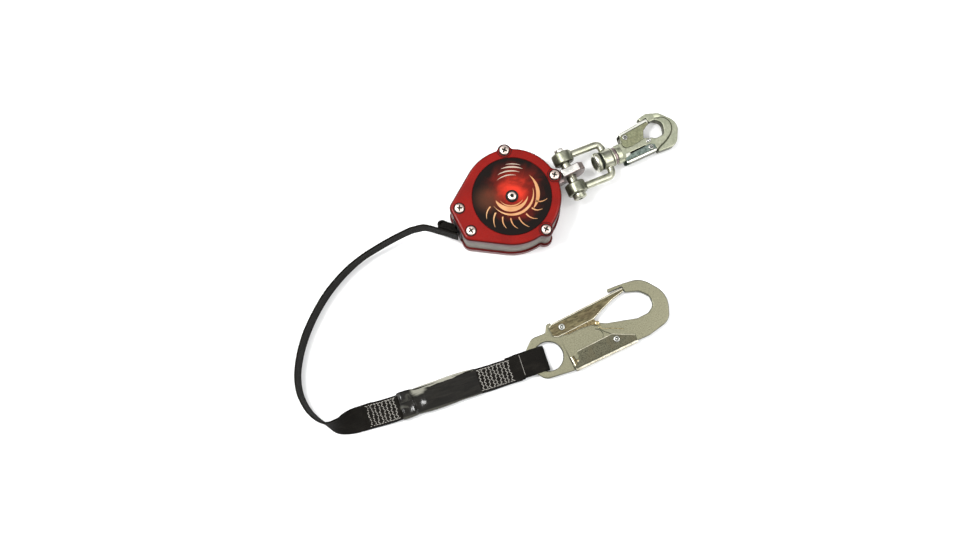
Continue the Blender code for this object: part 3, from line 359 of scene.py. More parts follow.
# Each metal's bright and dull colours and its roughness, and what sets it apart
METALS = {
    "bright_steel": ((0.78, 0.75, 0.71), (0.60, 0.58, 0.54), 0.24, {"grain": 0.006}),
    "screw_steel": ((0.76, 0.63, 0.56), (0.54, 0.44, 0.39), 0.34, {"grain": 0.01}),
    "rivet_steel": ((0.50, 0.50, 0.46), (0.34, 0.34, 0.31), 0.3, {"grain": 0.006}),
    "dark_steel": ((0.30, 0.235, 0.225), (0.17, 0.135, 0.13), 0.34, {}),
    # recess: near black steel, painted shade inside recesses, sockets, dimples, the swivel's gap and rivet
    # rims
    "recess": ((0.030, 0.034, 0.026), (0.018, 0.02, 0.016), 0.5, {}),
    "zinc": ((0.45, 0.445, 0.355), (0.30, 0.305, 0.23), 0.33,
             {"stain": (0.24, 0.25, 0.18), "grain": 0.006}),
    "barrel_zinc": ((0.29, 0.29, 0.225), (0.165, 0.17, 0.125), 0.36,
                    {"stain": (0.14, 0.15, 0.10), "grain": 0.008}),
    "forged_zinc": ((0.42, 0.43, 0.32), (0.32, 0.33, 0.24), 0.36,
                    {"stain": (0.29, 0.31, 0.22), "grain": 0.01, "mottling": 0.4, "dirt": 0.25}),
    # dark_zinc: painted shade on grooves, walls, creases, rims and the swivel head's middle; also the dark
    # zinc of two spring wires
    "dark_zinc": ((0.115, 0.115, 0.08), (0.07, 0.075, 0.05), 0.4, {"stain": (0.06, 0.065, 0.04)}),
    "gate_zinc": ((0.30, 0.31, 0.19), (0.185, 0.19, 0.115), 0.34,
                  {"stain": (0.22, 0.20, 0.11), "grain": 0.014, "mottling": 0.45}),
    "lever_zinc": ((0.235, 0.285, 0.25), (0.11, 0.145, 0.125), 0.3,
                   {"stain": (0.09, 0.115, 0.095), "grain": 0.014, "mottling": 0.35}),
    "yellow_zinc": ((0.236, 0.226, 0.152), (0.174, 0.167, 0.112), 0.33,
                    {"grain": 0.008, "mottling": 0.9, "dirt": 0.2}),
    "bronze_zinc": ((0.165, 0.142, 0.078), (0.085, 0.072, 0.040), 0.32,
                    {"stain": (0.095, 0.072, 0.04), "grain": 0.012,
                     "streak": (0.35, 1.0, 1.0), "mottling": 0.5}),
    "flange_bronze": ((0.21, 0.168, 0.085), (0.11, 0.085, 0.045), 0.3, {"grain": 0.01, "mottling": 0.5}),
    "lever_bronze": ((0.140, 0.133, 0.090), (0.056, 0.054, 0.036), 0.32,
                     {"stain": (0.10, 0.088, 0.055), "grain": 0.02, "mottling": 1.1, "dirt": 0.5}),
    # edge_gold and edge_zinc: painted highlights on folds, rims and a tab, brighter and glossier than the
    # parts they sit on
    "edge_gold": ((0.80, 0.75, 0.60), (0.60, 0.56, 0.43), 0.22, {"grain": 0.004, "dirt": 0.15}),
    "edge_zinc": ((0.86, 0.86, 0.77), (0.70, 0.70, 0.61), 0.22, {"grain": 0.004, "dirt": 0.15}),
    "gold_zinc": ((0.56, 0.46, 0.25), (0.32, 0.26, 0.13), 0.26, {}),
    "spring_steel": ((0.45, 0.45, 0.42), (0.28, 0.28, 0.26), 0.28, {"grain": 0.006}),
    "brass": ((0.72, 0.55, 0.25), (0.58, 0.43, 0.18), 0.32, {"grain": 0.006}),
}
LOOKS = {
    "label_black": label_look("label_black"),
    "webbing": webbing_look("webbing", (0.0026, 0.0023, 0.0018), (0.0115, 0.0100, 0.0078)),
    "thread": thread_look("thread", (0.42, 0.40, 0.36)),
    "dark_thread": thread_look("dark_thread", (0.03, 0.027, 0.023)),
    "sleeve": film_look("sleeve"),
}
for table, look_maker in ((PLASTICS, plastic_look), (METALS, metal_look)):
    for look_name, (main_color, other_color, roughness, extras) in table.items():
        LOOKS[look_name] = look_maker(look_name, main_color, other_color, roughness, **extras)


# ---------------------------------------------------------------- outlines

def polar(radius, angle, center=(0.0, 0.0)):
    turn = radians(angle)
    return (center[0] + radius * cos(turn), center[1] + radius * sin(turn))


def arc(center, radius, start, end, steps):
    return [polar(radius, start + (end - start) * i / steps, center) for i in range(steps + 1)]


def circle(radius, steps, center=(0.0, 0.0)):
    return arc(center, radius, 0.0, 360.0, steps)[:-1]


def rounded(corners, turn=7.0):
    """A closed outline from (x, y, radius) corners, each rounded in steps of about turn degrees."""
    points = []
    count = len(corners)
    for i, (x, y, radius) in enumerate(corners):
        here = Vector((x, y))
        back = (Vector(corners[i - 1][:2]) - here).normalized()
        on = (Vector(corners[(i + 1) % count][:2]) - here).normalized()
        angle = back.angle(on)
        if radius <= 0 or angle > radians(179.0):
            points.append((x, y))
            continue
        center = here + (back + on).normalized() * (radius / sin(angle / 2))
        first = here + back * (radius / tan(angle / 2)) - center
        last = here + on * (radius / tan(angle / 2)) - center
        start = atan2(first.y, first.x)
        swing = (atan2(last.y, last.x) - start + pi) % (2 * pi) - pi
        steps = max(2, ceil(abs(degrees(swing)) / turn))
        for k in range(steps + 1):
            spot = start + swing * k / steps
            points.append((center.x + radius * cos(spot), center.y + radius * sin(spot)))
    return points


def dense(points, longest):
    """The same closed outline with its long edges divided."""
    made = []
    for a, b in zip(points, points[1:] + points[:1]):
        steps = max(1, ceil(hypot(b[0] - a[0], b[1] - a[1]) / longest))
        made += [(a[0] + (b[0] - a[0]) * k / steps, a[1] + (b[1] - a[1]) * k / steps) for k in range(steps)]
    return made


def turned_left(points):
    area = sum(a[0] * b[1] - b[0] * a[1] for a, b in zip(points, points[1:] + points[:1]))
    return points if area > 0 else points[::-1]


def inset(points, depths):
    """Each point of a counter-clockwise outline moved inwards by its own depth."""
    count = len(points)
    made = []
    for i, (x, y) in enumerate(points):
        a = Vector((x, y)) - Vector(points[i - 1])
        b = Vector(points[(i + 1) % count]) - Vector((x, y))
        a.normalize()
        b.normalize()
        inward = Vector((-a.y - b.y, a.x + b.x))
        if inward.length < 1e-6:
            made.append((x, y))
            continue
        inward.normalize()
        stretch = min(1.5, 1.0 / max(0.3, inward.dot(Vector((-a.y, a.x)))))
        made.append((x + inward.x * depths[i] * stretch, y + inward.y * depths[i] * stretch))
    return made


def turn_about(center, first, last, steps, way):
    radius = hypot(first[0] - center[0], first[1] - center[1])
    start = degrees(atan2(first[1] - center[1], first[0] - center[0]))
    end = degrees(atan2(last[1] - center[1], last[0] - center[0]))
    swing = (end - start) % 360.0 if way > 0 else -((start - end) % 360.0)
    return arc(center, radius, start, start + swing, steps)


def chin_tangent():
    reach = hypot(CHIN_X, CHIN_Y)
    return degrees(atan2(CHIN_Y, CHIN_X) - acos((BODY_R - CHIN_R) / reach))


def chin_points(grow, steps):
    tangent = chin_tangent()
    upper = arc((CHIN_X, CHIN_Y), CHIN_R + grow, tangent, 180.0, steps)
    lower = arc((CHIN_X, -CHIN_Y), CHIN_R + grow, 180.0, 360.0 - tangent, steps)
    return upper + lower


def housing_outline(grow=0.0, fine=3.0):
    body = BODY_R + grow
    ear = EAR_R + grow
    fillet = EAR_FILLET - grow
    out = body + fillet
    side = degrees(acos((out**2 + EAR_AT**2 - (ear + fillet) ** 2) / (2 * out * EAR_AT)))
    tangent = chin_tangent()

    def ear_points(angle):
        center = polar(EAR_AT, angle)
        before = polar(out, angle - side)
        after = polar(out, angle + side)
        points = turn_about(before, polar(body, angle - side), center, 6, -1)
        far = turn_about(center, points[-1], after, 20, 1)
        points += far[1:]
        points += turn_about(after, far[-1], (0.0, 0.0), 6, -1)[1:]
        return points

    def body_points(start, end):
        steps = max(1, round((end - start) / fine))
        return arc((0.0, 0.0), body, start, end, steps)[1:-1]

    points = ear_points(0.0)
    points += body_points(side, 72.0 - side)
    points += ear_points(72.0)
    points += body_points(72.0 + side, tangent)
    points.append(polar(body, tangent))
    points += chin_points(grow, 10)
    points.append(polar(body, -tangent))
    points += body_points(-tangent, -72.0 - side)
    points += ear_points(-72.0)
    points += body_points(-72.0 + side, -side)
    return points


# ---------------------------------------------------------------- solids

def solid(name, points, faces, smooth=40.0):
    mesh = bpy.data.meshes.new(name)
    shape = bmesh.new()
    corners = [shape.verts.new(Vector(p)) for p in points]
    for face in faces:
        shape.faces.new([corners[i] for i in face])
    bmesh.ops.recalc_face_normals(shape, faces=shape.faces)
    shape.to_mesh(mesh)
    shape.free()
    mesh.shade_smooth()
    mesh.set_sharp_from_angle(angle=radians(smooth))
    made = bpy.data.objects.new(name, mesh)
    bpy.context.scene.collection.objects.link(made)
    return made


def stack(name, rings, smooth=40.0):
    count = len(rings[0])
    points = [p for ring in rings for p in ring]
    faces = [tuple(range(count)), tuple(range(len(points) - count, len(points)))]
    for k in range(len(rings) - 1):
        for i in range(count):
            j = (i + 1) % count
            a = k * count
            b = a + count
            faces.append((a + i, a + j, b + j, b + i))
    return solid(name, points, faces, smooth)


def rim_turns(steps):
    """(side, angle) pairs up a plate's quarter round bottom rim, whose side is 1, and its top one, -1."""
    turns = [radians(90.0 * k / steps) for k in range(steps + 1)]
    return [(1, turn) for turn in turns[::-1]] + [(-1, turn) for turn in turns]


def slab(name, outline, low, high, edge=0.6, wide=None, steps=4, flat_ring=0.12):
    """A plate with rounded rims, and a narrow flat ring inside them; wide(x, y) gives a rim's own depth
    where it isn't the same all round."""
    outline = turned_left(outline)
    depths = [wide(x, y) if wide else edge for x, y in outline]
    rings = []
    for side, turn in rim_turns(steps):
        shrunk = inset(outline, [d * (1 - cos(turn)) for d in depths])
        start = low if side > 0 else high
        rings.append([(x, y, start + side * d * (1 - sin(turn))) for (x, y), d in zip(shrunk, depths)])
    for place, z in ((0, low), (len(rings) + 1, high)):
        flat = inset(outline, [d + flat_ring for d in depths])
        rings.insert(place, [(x, y, z) for x, y in flat])
    made = stack(name, rings, 50.0)
    shape = bmesh.new()
    shape.from_mesh(made.data)
    caps = [face for face in shape.faces if len(face.verts) > 4]
    bmesh.ops.triangulate(shape, faces=caps, quad_method="BEAUTY", ngon_method="BEAUTY")
    shape.to_mesh(made.data)
    shape.free()
    return made


def prism(name, outline, low, high):
    return stack(name, [[(x, y, z) for x, y in outline] for z in (low, high)])


def upright_prism(name, outline, near, far):
    return stack(name, [[(x, y, z) for x, z in outline] for y in (near, far)])


def box(name, low, high):
    (x0, y0, z0), (x1, y1, z1) = low, high
    return prism(name, [(x0, y0), (x1, y0), (x1, y1), (x0, y1)], z0, z1)


def lathe(name, profile, steps=64, axis="Z", center=(0.0, 0.0, 0.0)):
    points = []
    rings = []
    for radius, along in profile:
        ring = []
        for k in range(steps if radius > 1e-6 else 1):
            turn = 2 * pi * k / steps
            spot = (radius * cos(turn), radius * sin(turn), along)
            if axis == "X":
                spot = (spot[2], spot[0], spot[1])
            if axis == "Y":
                spot = (spot[1], spot[2], spot[0])
            ring.append(len(points))
            points.append(tuple(a + b for a, b in zip(spot, center)))
        rings.append(ring)
    faces = []
    for here, there in zip(rings, rings[1:] + rings[:1]):
        if len(here) == 1 and len(there) == 1:
            continue
        for k in range(steps):
            j = (k + 1) % steps
            if len(here) == 1:
                faces.append((here[0], there[j], there[k]))
            elif len(there) == 1:
                faces.append((here[k], here[j], there[0]))
            else:
                faces.append((here[k], here[j], there[j], there[k]))
    return solid(name, points, faces)


def soften(profile, radius=0.5, turn=22.0):
    """A (radius, along) profile with its corners rounded, but for those on the axis."""
    corners = []
    for k, (r, a) in enumerate(profile):
        reach = [hypot(r - q[0], a - q[1]) for q in (profile[k - 1], profile[(k + 1) % len(profile)])]
        corners.append((r, a, 0.0 if r < 1e-6 else min(radius, 0.45 * min(reach))))
    made = []
    for r, a in rounded(corners, turn):
        if not made or hypot(r - made[-1][0], a - made[-1][1]) > 1e-4:
            made.append((r, a))
    return made


def rod(name, radius, low, high, steps=48, axis="Z", center=(0.0, 0.0, 0.0)):
    return lathe(name, [(0.0, low), (radius, low), (radius, high), (0.0, high)], steps, axis, center)


def tube(name, route, radius, sides=16):
    path = [Vector(p) for p in route]
    rings = []
    up = Vector((0.0, 0.0, 1.0))
    for i, here in enumerate(path):
        along = (path[min(i + 1, len(path) - 1)] - path[max(i - 1, 0)]).normalized()
        side = along.cross(up)
        if side.length < 0.05:
            side = along.cross(Vector((1.0, 0.0, 0.0)))
        side.normalize()
        up = side.cross(along).normalized()
        width = radius(i / (len(path) - 1)) if callable(radius) else radius
        turns = [2 * pi * k / sides for k in range(sides)]
        rings.append([tuple(here + side * (width * cos(t)) + up * (width * sin(t))) for t in turns])
    return stack(name, rings, 60.0)


def smooth_path(points, steps=8):
    """A curve through the given points."""
    knots = [Vector(p) for p in points]
    knots = [knots[0] * 2 - knots[1]] + knots + [knots[-1] * 2 - knots[-2]]
    made = []
    for a, b, c, d in zip(knots, knots[1:], knots[2:], knots[3:]):
        for k in range(steps):
            t = k / steps
            made.append(0.5 * (b * 2 + (c - a) * t + (a * 2 - b * 5 + c * 4 - d) * t * t
                               + (b * 3 - a - c * 3 + d) * t**3))
    made.append(knots[-2])
    return made


def carve(target, *tools, join=False, painted=False):
    """Cuts tools from a target, or joins them on, and removes them. A painted cut's walls keep the
    tool's own material."""
    for tool in tools:
        step = target.modifiers.new("solid", "BOOLEAN")
        step.operation = "UNION" if join else "DIFFERENCE"
        step.solver = "EXACT"
        step.object = tool
        if painted:
            step.material_mode = "TRANSFER"
        bpy.context.view_layer.update()
        settle(target)
        bpy.data.objects.remove(tool, do_unlink=True)
    return target


def settle(target):
    """Turns a piece's modifiers into its mesh."""
    shown = target.evaluated_get(bpy.context.evaluated_depsgraph_get())
    mesh = bpy.data.meshes.new_from_object(shown)
    target.modifiers.clear()
    target.data = mesh
    return target


def painted_with(made, *looks):
    for look in looks:
        made.data.materials.append(LOOKS[look])
    return made


def bevelled(target, width, angle=40.0, segments=3):
    step = target.modifiers.new("edges", "BEVEL")
    step.width = width
    step.segments = segments
    step.limit_method = "ANGLE"
    step.angle_limit = radians(angle)
    step.harden_normals = False
    return settle(target)


def remeshed(target, voxel, rounds):
    step = target.modifiers.new("remesh", "REMESH")
    step.mode = "VOXEL"
    step.voxel_size = voxel
    step.use_smooth_shade = True
    step = target.modifiers.new("relax", "SMOOTH")
    step.factor = 0.5
    step.iterations = rounds
    return settle(target)


def finish_piece(made, look, body, slot, nodes=(), shift=None, zones=(), zone=None, smooth=40.0):
    """Gives a piece its material and place in the frame; it stands for the CAD nodes named.
    zone(normal, center) tells which of the extra looks in zones a face has, counted from 1, or 0."""
    mesh = made.data
    marked = [int(zone(p.normal, p.center)) for p in mesh.polygons] if zone else []
    spots = [c for v in mesh.vertices for c in v.co]
    local = mesh.attributes.get("local") or mesh.attributes.new("local", "FLOAT_VECTOR", "POINT")
    local.data.foreach_set("vector", spots)
    mesh.transform(Matrix.Scale(MM, 4) @ (shift or Matrix.Identity(4)))
    mesh.shade_smooth()
    if smooth:
        mesh.set_sharp_from_angle(angle=radians(smooth))
    if look:
        mesh.materials.clear()
        mesh.materials.append(LOOKS[look])
    first = len(mesh.materials)
    for extra in zones:
        mesh.materials.append(LOOKS[extra])
    for polygon, mark in zip(mesh.polygons, marked):
        if mark and polygon.material_index == 0:
            polygon.material_index = first + mark - 1
    if body:
        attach(made, body)
    if nodes:
        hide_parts(*nodes)
    return made


# ---------------------------------------------------------------- casing

def screw_places():
    return [polar(EAR_AT, angle) for angle in EAR_ANGLES] + list(CHIN_SCREWS)


def cavity(name, low, high):
    tangent = chin_tangent()
    points = arc((0.0, 0.0), BODY_R - WALL, -tangent, tangent, 60)
    points += arc((CHIN_X, CHIN_Y), CHIN_R - WALL, tangent, 180.0, 6)
    points += arc((CHIN_X, -CHIN_Y), CHIN_R - WALL, 180.0, 360.0 - tangent, 6)
    hollow = prism(name, points, low, high)
    posts = []
    for x, y in screw_places():
        radius = POST_R if x < CHIN_X / 2 else 4.9
        posts.append(rod(f"{name}_post", radius, low - 1, high + 1, 24, center=(x, y, 0)))
    return carve(hollow, *posts)


def cover_stack(name, levels):
    return stack(name, [[(x, y, z) for x, y in housing_outline(grow)] for z, grow in levels], 50.0)


def rim(start, way, reach, steps=7):
    turns = [radians(90.0 * k / steps) for k in range(steps + 1)]
    return [(start + way * reach * sin(t), -reach * (1 - cos(t))) for t in turns]


def ring_cutter(name, profile, place, steps=64):
    """A ring whose cross-section is a closed profile of (radius, height) points."""
    points = []
    faces = []
    count = len(profile)
    for k in range(steps):
        for radius, z in profile:
            points.append((*polar(radius, 360.0 * k / steps, place), z))
        for i in range(count):
            j = (i + 1) % count
            after = (k + 1) % steps * count
            faces.append((k * count + i, k * count + j, after + j, after + i))
    return solid(name, points, faces)


def make_covers():
    levels = rim(2.0, -1, 2.0)[::-1] + [(REAR_TOP - 0.5, 0.0), (REAR_TOP, -0.5)]
    levels = [(z, grow + REAR_PROUD) for z, grow in levels]
    rear = cover_stack("rear_shell", levels)
    carve(rear, cavity("well", 2.6, REAR_TOP + 1), box("mouth", *MOUTH))
    # The rear cover's sides near its top get the painted rim shade.
    finish_piece(rear, "rear_red", "casing", "rear_red", ["rear_cover"], None, ["rim_dark"],
                 lambda normal, at: abs(normal.z) < 0.8 and at.z > REAR_TOP - 0.7)

    band_levels = [(RING_LOW, -1.3), (RING_LOW + 0.4, -1.0), (RING_HIGH - 0.4, -1.0), (RING_HIGH, -1.3)]
    band = cover_stack("band_shell", band_levels)
    carve(band, cavity("well", RING_LOW - 1, RING_HIGH + 1), box("mouth", *MOUTH))
    carve(band, box("lug_window", (38.0, -6.9, 16.5), (60.0, 6.9, 31.5)))
    finish_piece(band, "band_grey", "casing", "band_grey", ["center_ring"])

    levels = [(FRONT_LOW, -0.35), (FRONT_LOW + 0.35, 0.0)] + rim(CASE_TOP - 3.0, 1, 3.0)
    front = cover_stack("front_shell", levels)
    carve(front, cavity("well", FRONT_LOW - 1, FRONT_ROOF), box("mouth", *MOUTH))
    recess = [(0.0, LABEL_LOW - 0.3), (LABEL_R + 0.3, LABEL_LOW - 0.3), (LABEL_R + 0.3, CASE_TOP - 0.35)]
    recess += [(LABEL_R + 0.75, CASE_TOP + 0.1), (LABEL_R + 0.75, CASE_TOP + 2), (0.0, CASE_TOP + 2)]
    carve(front, lathe("label_recess", recess, 180))
    for place in screw_places():
        seat = [(0.0, SCREW_SEAT), (SEAT_R - 0.1, SCREW_SEAT), (SEAT_R - 0.1, CASE_TOP - 0.25)]
        seat += [(SEAT_R + 0.2, CASE_TOP + 0.05), (SEAT_R + 0.2, CASE_TOP + 2), (0.0, CASE_TOP + 2)]
        carve(front, lathe("screw_seat", seat, 48, center=(*place, 0)))
    carve(front, rod("axle_opening", 4.0, FRONT_ROOF - 1, CASE_TOP, 32))
    for angle in EAR_ANGLES:
        step = [(6.7, CASE_TOP - 0.5), (7.2, CASE_TOP - 0.5), (7.55, CASE_TOP + 0.3), (6.4, CASE_TOP + 0.3)]
        carve(front, ring_cutter("pad_edge", step, polar(EAR_AT, angle)))

    # front_zone paints shade: the screw seats black (2); the walls, rims and the grooves round the ear pads a
    # darker red (1)
    def front_zone(normal, at):
        screws = [hypot(at.x - x, at.y - y) for x, y in screw_places()]
        if at.z < CASE_TOP - 0.2 and min(screws) < SEAT_R + 0.05:
            return 2
        ear = min(screws[:3])
        if 6.4 < ear < 7.55 and CASE_TOP - 0.51 < at.z < CASE_TOP - 0.01 and hypot(at.x, at.y) < BODY_R:
            return 1
        return abs(normal.z) < 0.74
    finish_piece(front, "cover_red", "casing", "cover_red", ["front_cover"], None,
                 ["rim_dark", "black_plastic"], front_zone)


def crescent(radius, width, start, end, center=(0.0, 0.0), steps=48, lean=0.5):
    """A stroke along an arc that swells from one pointed end to the other."""
    outer = []
    inner = []
    for k in range(steps + 1):
        share = k / steps
        half = width / 2 * sin(pi * share ** (0.6 + lean)) + 0.06
        turn = start + (end - start) * share
        outer.append(polar(radius + half, turn, center))
        inner.append(polar(radius - half, turn, center))
    return outer + inner[::-1]


def print_strokes(name, look, outlines):
    """Ink strokes a hair above the label."""
    points = []
    faces = []
    for outline in outlines:
        half = len(outline) // 2
        base = len(points)
        points += [(x, y, z) for z in (LABEL_TOP, INK_TOP) for x, y in outline]
        count = len(outline)
        for k in range(half - 1):
            a, b, c, d = k, k + 1, count - 2 - k, count - 1 - k
            faces.append((base + count + a, base + count + b, base + count + c, base + count + d))
            faces.append((base + a, base + d, base + c, base + b))
        for k in range(count):
            j = (k + 1) % count
            faces.append((base + k, base + j, base + count + j, base + count + k))
    made = solid(name, points, faces)
    return finish_piece(made, look, "casing", "label_black")


def rib_stroke(near, far, width, bow):
    """A thin curved stroke that tapers to a point at its far end."""
    a, b = Vector(near), Vector(far)
    side = Vector((b.y - a.y, a.x - b.x)).normalized()
    outer = []
    inner = []
    for k in range(13):
        share = k / 12
        spot = a.lerp(b, share) + side * (bow * sin(pi * share))
        half = width / 2 * (1 - share) ** 0.7 + 0.12
        outer.append(tuple(spot + side * half))
        inner.append(tuple(spot - side * half))
    return outer + inner[::-1]


def make_label():
    profile = [(6.3, LABEL_LOW), (LABEL_R, LABEL_LOW), (LABEL_R, LABEL_TOP - 0.15)]
    profile += [(LABEL_R - 0.15, LABEL_TOP), (6.3, LABEL_TOP)]
    disc = lathe("label_disc", profile, 160)
    finish_piece(disc, "label_black", "casing", "label_black", ["label_plate"])
    sweep = [crescent(17.0, 4.6, -178.0, -40.0, (1.0, 4.0), lean=0.2),
             crescent(21.5, 2.4, -170.0, -12.0, (1.0, 3.0)),
             crescent(25.0, 3.4, -62.0, 22.0, (1.5, 2.0), lean=0.2),
             crescent(13.6, 1.2, -168.0, -60.0, (1.0, 4.0))]
    for k in range(8):
        turn = -176.0 + 19.0 * k
        far = polar(33.5 + 1.5 * sin(k * 1.9), turn + 12.0)
        sweep.append(rib_stroke(polar(24.0, turn, (0.5, 2.0)), far, 1.25, 1.6))
    print_strokes("label_sweep", "print_tan", sweep)
    arcs = ((29.5, 1.7, 42.0, 84.0), (25.5, 1.2, 46.0, 96.0), (21.5, 0.9, 52.0, 104.0),
            (32.5, 0.9, 48.0, 74.0))
    print_strokes("label_arcs", "print_pale", [crescent(*facts, lean=0.4) for facts in arcs])


def cross_cutter(name, place, top):
    """A tapered cross recess, whose walls are painted near black: painted shade."""
    x, y = place
    turn = random.Random(int(x * 7 + y * 3) % 97).uniform(0, 90)
    made = None
    for quarter in (0.0, 90.0):
        rings = []
        for z, long, wide in ((top - 1.8, 1.2, 0.45), (top - 1.1, 2.7, 0.62), (top + 0.6, 3.2, 0.85)):
            ring = []
            for u, v in ((-long, -wide), (long, -wide), (long, wide), (-long, wide)):
                a, b = Matrix.Rotation(radians(turn + quarter), 2) @ Vector((u, v))
                ring.append((x + a, y + b, z))
            rings.append(ring)
        arm = stack(name, rings)
        made = arm if made is None else carve(made, arm, join=True)
    return painted_with(made, "recess")


def make_screws():
    for k, place in enumerate(screw_places()):
        letter = "abcde"[k]
        seat = SCREW_SEAT + GAP
        top = seat + HEAD_HIGH
        profile = [(0.0, 5.0), (2.4, 5.6), (2.4, seat), (HEAD_R, seat), (HEAD_R - 0.02, seat + 0.25)]
        profile += [(HEAD_R, seat + 0.9), (4.6, seat + 1.4), (4.3, seat + 1.85), (3.7, seat + 2.2)]
        profile += [(2.6, seat + 2.42), (1.2, seat + 2.5), (0.0, seat + 2.5)]
        screw = lathe(f"screw_{letter}", profile, 56, center=(*place, 0))
        painted_with(screw, "screw_steel", "recess")
        carve(screw, cross_cutter("cross", place, top), painted=True)
        finish_piece(screw, None, "casing", "bright_steel", [f"cover_screw_{letter}"])


def make_axle_end():
    profile = [(2.8, 48.3), (6.0, 48.3), (6.0, 50.3), (5.5, 50.6), (4.75, 50.3), (4.75, 49.1), (2.8, 49.1)]
    ring = lathe("axle_ring", soften(profile, 0.25), 64)
    finish_piece(ring, "black_plastic", "casing", "black_plastic", ["axle_collar"])
    profile = [(0.0, 31.0), (2.4, 31.0), (2.4, 49.4), (4.4, 49.4), (4.5, 49.5), (4.5, 50.2)]
    profile += [(4.3, 50.7), (3.7, 51.2), (2.8, 51.5), (1.5, 51.6), (0.0, 51.6)]
    button = lathe("axle_button", profile, 64)
    painted_with(button, "screw_steel", "recess")
    # The hex socket's walls are painted near black: painted shade.
    socket = painted_with(prism("socket", circle(2.1, 6), 49.9, 53.0), "recess")
    carve(button, socket, painted=True)
    finish_piece(button, None, "casing", "bright_steel", ["axle_screw"])


def tail_line():
    """Where the webbing leaves the full drum's rim, the way it runs past the post, and its face's way."""
    post = Vector(CHIN_SCREWS[1])
    clear = PAYOUT_R + POST_R + GAP + WEB_THICK / 2
    turn = atan2(-post.y, -post.x) + acos(clear / post.length)
    normal = Vector((cos(turn), sin(turn)))
    along = Vector((-normal.y, normal.x))
    return normal * -PAYOUT_R, along, normal


def strip(low, high, near, far):
    """A rectangle along the tail's line."""
    foot, along, normal = tail_line()
    spots = [foot + along * a + normal * c for a, c in ((low, near), (high, near), (high, far), (low, far))]
    return [(p.x, p.y) for p in spots]


def make_exit():
    guide = box("nozzle", (-60.6, -8.3, 8.8), (-50.5, 8.3, 38.0))
    carve(guide, prism("slot", strip(20.0, 70.0, -2.6, 2.6), 10.3, 36.5))
    bevelled(guide, 0.5)
    finish_piece(guide, "black_plastic", "casing", "black_plastic", ["exit_guide"])


def make_lug():
    """The bracket: its lug is the only part outside the casing; its flat top is painted bright steel, a
    painted highlight.
    """
    corners = [(-17, -13, 12), (17, -15, 6), (24, -10, 4), (41.5, -10, 1)]
    corners += [(41.5, 10, 1), (24, 10, 4), (17, 15, 6), (-17, 13, 12)]
    bracket = prism("bracket", rounded(corners), 2.9, 5.4)
    carve(bracket, box("web", (39.2, -10.0, 2.9), (41.5, 10.0, 17.6)), join=True)
    neck = box("neck", (39.2, -6.5, 16.8), (56.0, 6.5, 31.2))
    bevelled(neck, 0.8)
    carve(bracket, neck, join=True)
    profile = [(54.9, 4.5, 2.0), (66.0, 5.5, 12.0), (80.0, 9.5, 9.0), (80.6, 30.0, 9.0)]
    profile += [(74.6, 38.4, 2.5), (54.9, 38.4, 2.0)]
    outline = turned_left(rounded(profile, 5.0))
    rings = []
    for side, turn in rim_turns(5):
        shrunk = inset(outline, [LUG_EDGE * (1 - cos(turn))] * len(outline))
        y = side * (LUG_EDGE * (1 - sin(turn)) - LUG_HALF)
        rings.append([(x, y, z) for x, z in shrunk])
    carve(bracket, stack("lug", rings, 50.0), join=True)
    carve(bracket, rod("bore", 5.7, -9.0, 9.0, 64, "Y", (PIN_X, 0, PIN_Z)))
    carve(bracket, rod("neck_bore", 2.8, 14.0, 34.0, 24, center=(EAR_AT, 0, 0)))
    carve(bracket, rod("base_bore", 4.0, 1.0, 7.0, 32))
    # The lug's upward-facing top is painted bright steel, a painted highlight; the rest is dark steel.
    finish_piece(bracket, "dark_steel", "casing", "dark_steel", ["anchor_bracket"], None, ["bright_steel"],
                 lambda normal, at: normal.z > 0.9 and at.z > 36.0, 35.0)


# ---------------------------------------------------------------- anchor connector

def make_shackle():
    long, wide, turn = 41.2, 17.7, 5.6
    half = [(4.0, wide, 0.0), (12.0, wide, 0.0), (24.0, wide, 0.0)]
    half += [(*p, 0.0) for p in arc((long - turn, wide - turn), turn, 90.0, 0.0, 12)]
    route = half + [(long, 0.0, 0.0)] + [(x, -y, z) for x, y, z in half[::-1]]
    shackle = tube("shackle_body", route, 3.8, 40)
    for side in (1, -1):
        low, high = sorted((side * 10.6, side * 22.6))
        profile = soften([(0.0, low), (10.25, low), (10.25, high), (0.0, high)], 1.6, 15.0)
        carve(shackle, lathe("barrel", profile, 72, "Y"), join=True)
    profile = soften([(0.0, 35.9), (9.75, 35.9), (9.75, 46.5), (0.0, 46.5)], 1.1, 15.0)
    carve(shackle, lathe("boss", profile, 72, "X"), join=True)
    remeshed(shackle, 0.4, 3)
    carve(shackle, rod("pin_bore", 5.2, -30.0, 30.0, 48, "Y"))
    carve(shackle, rod("swivel_bore", 5.2, 30.0, 50.0, 48, "X"))
    finish_piece(shackle, "zinc", "shackle", "zinc", ["shackle"], CONNECTOR, ["barrel_zinc"],
                 lambda normal, at: abs(at.y) > 10.0 and hypot(at.x, at.z) < 10.9, 50.0)

    profile = [(0.0, -28.0), (4.8, -28.0), (6.3, -27.5), (6.75, -26.8), (6.75, -23.1), (6.55, -22.9)]
    profile += [(4.9, -22.9), (4.9, 22.4), (4.7, 22.6), (2.9, 22.9), (2.9, 26.9), (2.7, 27.4)]
    profile += [(2.0, 27.8), (0.0, 27.8)]
    pin = lathe("pin", profile, 64, "Y")
    painted_with(pin, "zinc", "recess")
    # The dimple's walls are painted near black: painted shade.
    dimple = lathe("dimple", [(0.0, -29.0), (2.6, -29.0), (2.2, -27.2), (0.0, -26.9)], 32, "Y")
    painted_with(dimple, "recess")
    carve(pin, dimple, painted=True)
    finish_piece(pin, None, "shackle", "zinc", ["clevis_pin"], CONNECTOR)

    nut = upright_prism("nut", circle(5.5, 6), 23.2, 26.8)
    carve(nut, rod("nut_bore", 3.2, 20.0, 30.0, 32, "Y"))
    bevelled(nut, 0.3, 35.0, 2)
    finish_piece(nut, "bright_steel", "shackle", "bright_steel", ["clevis_pin_nut"], CONNECTOR)


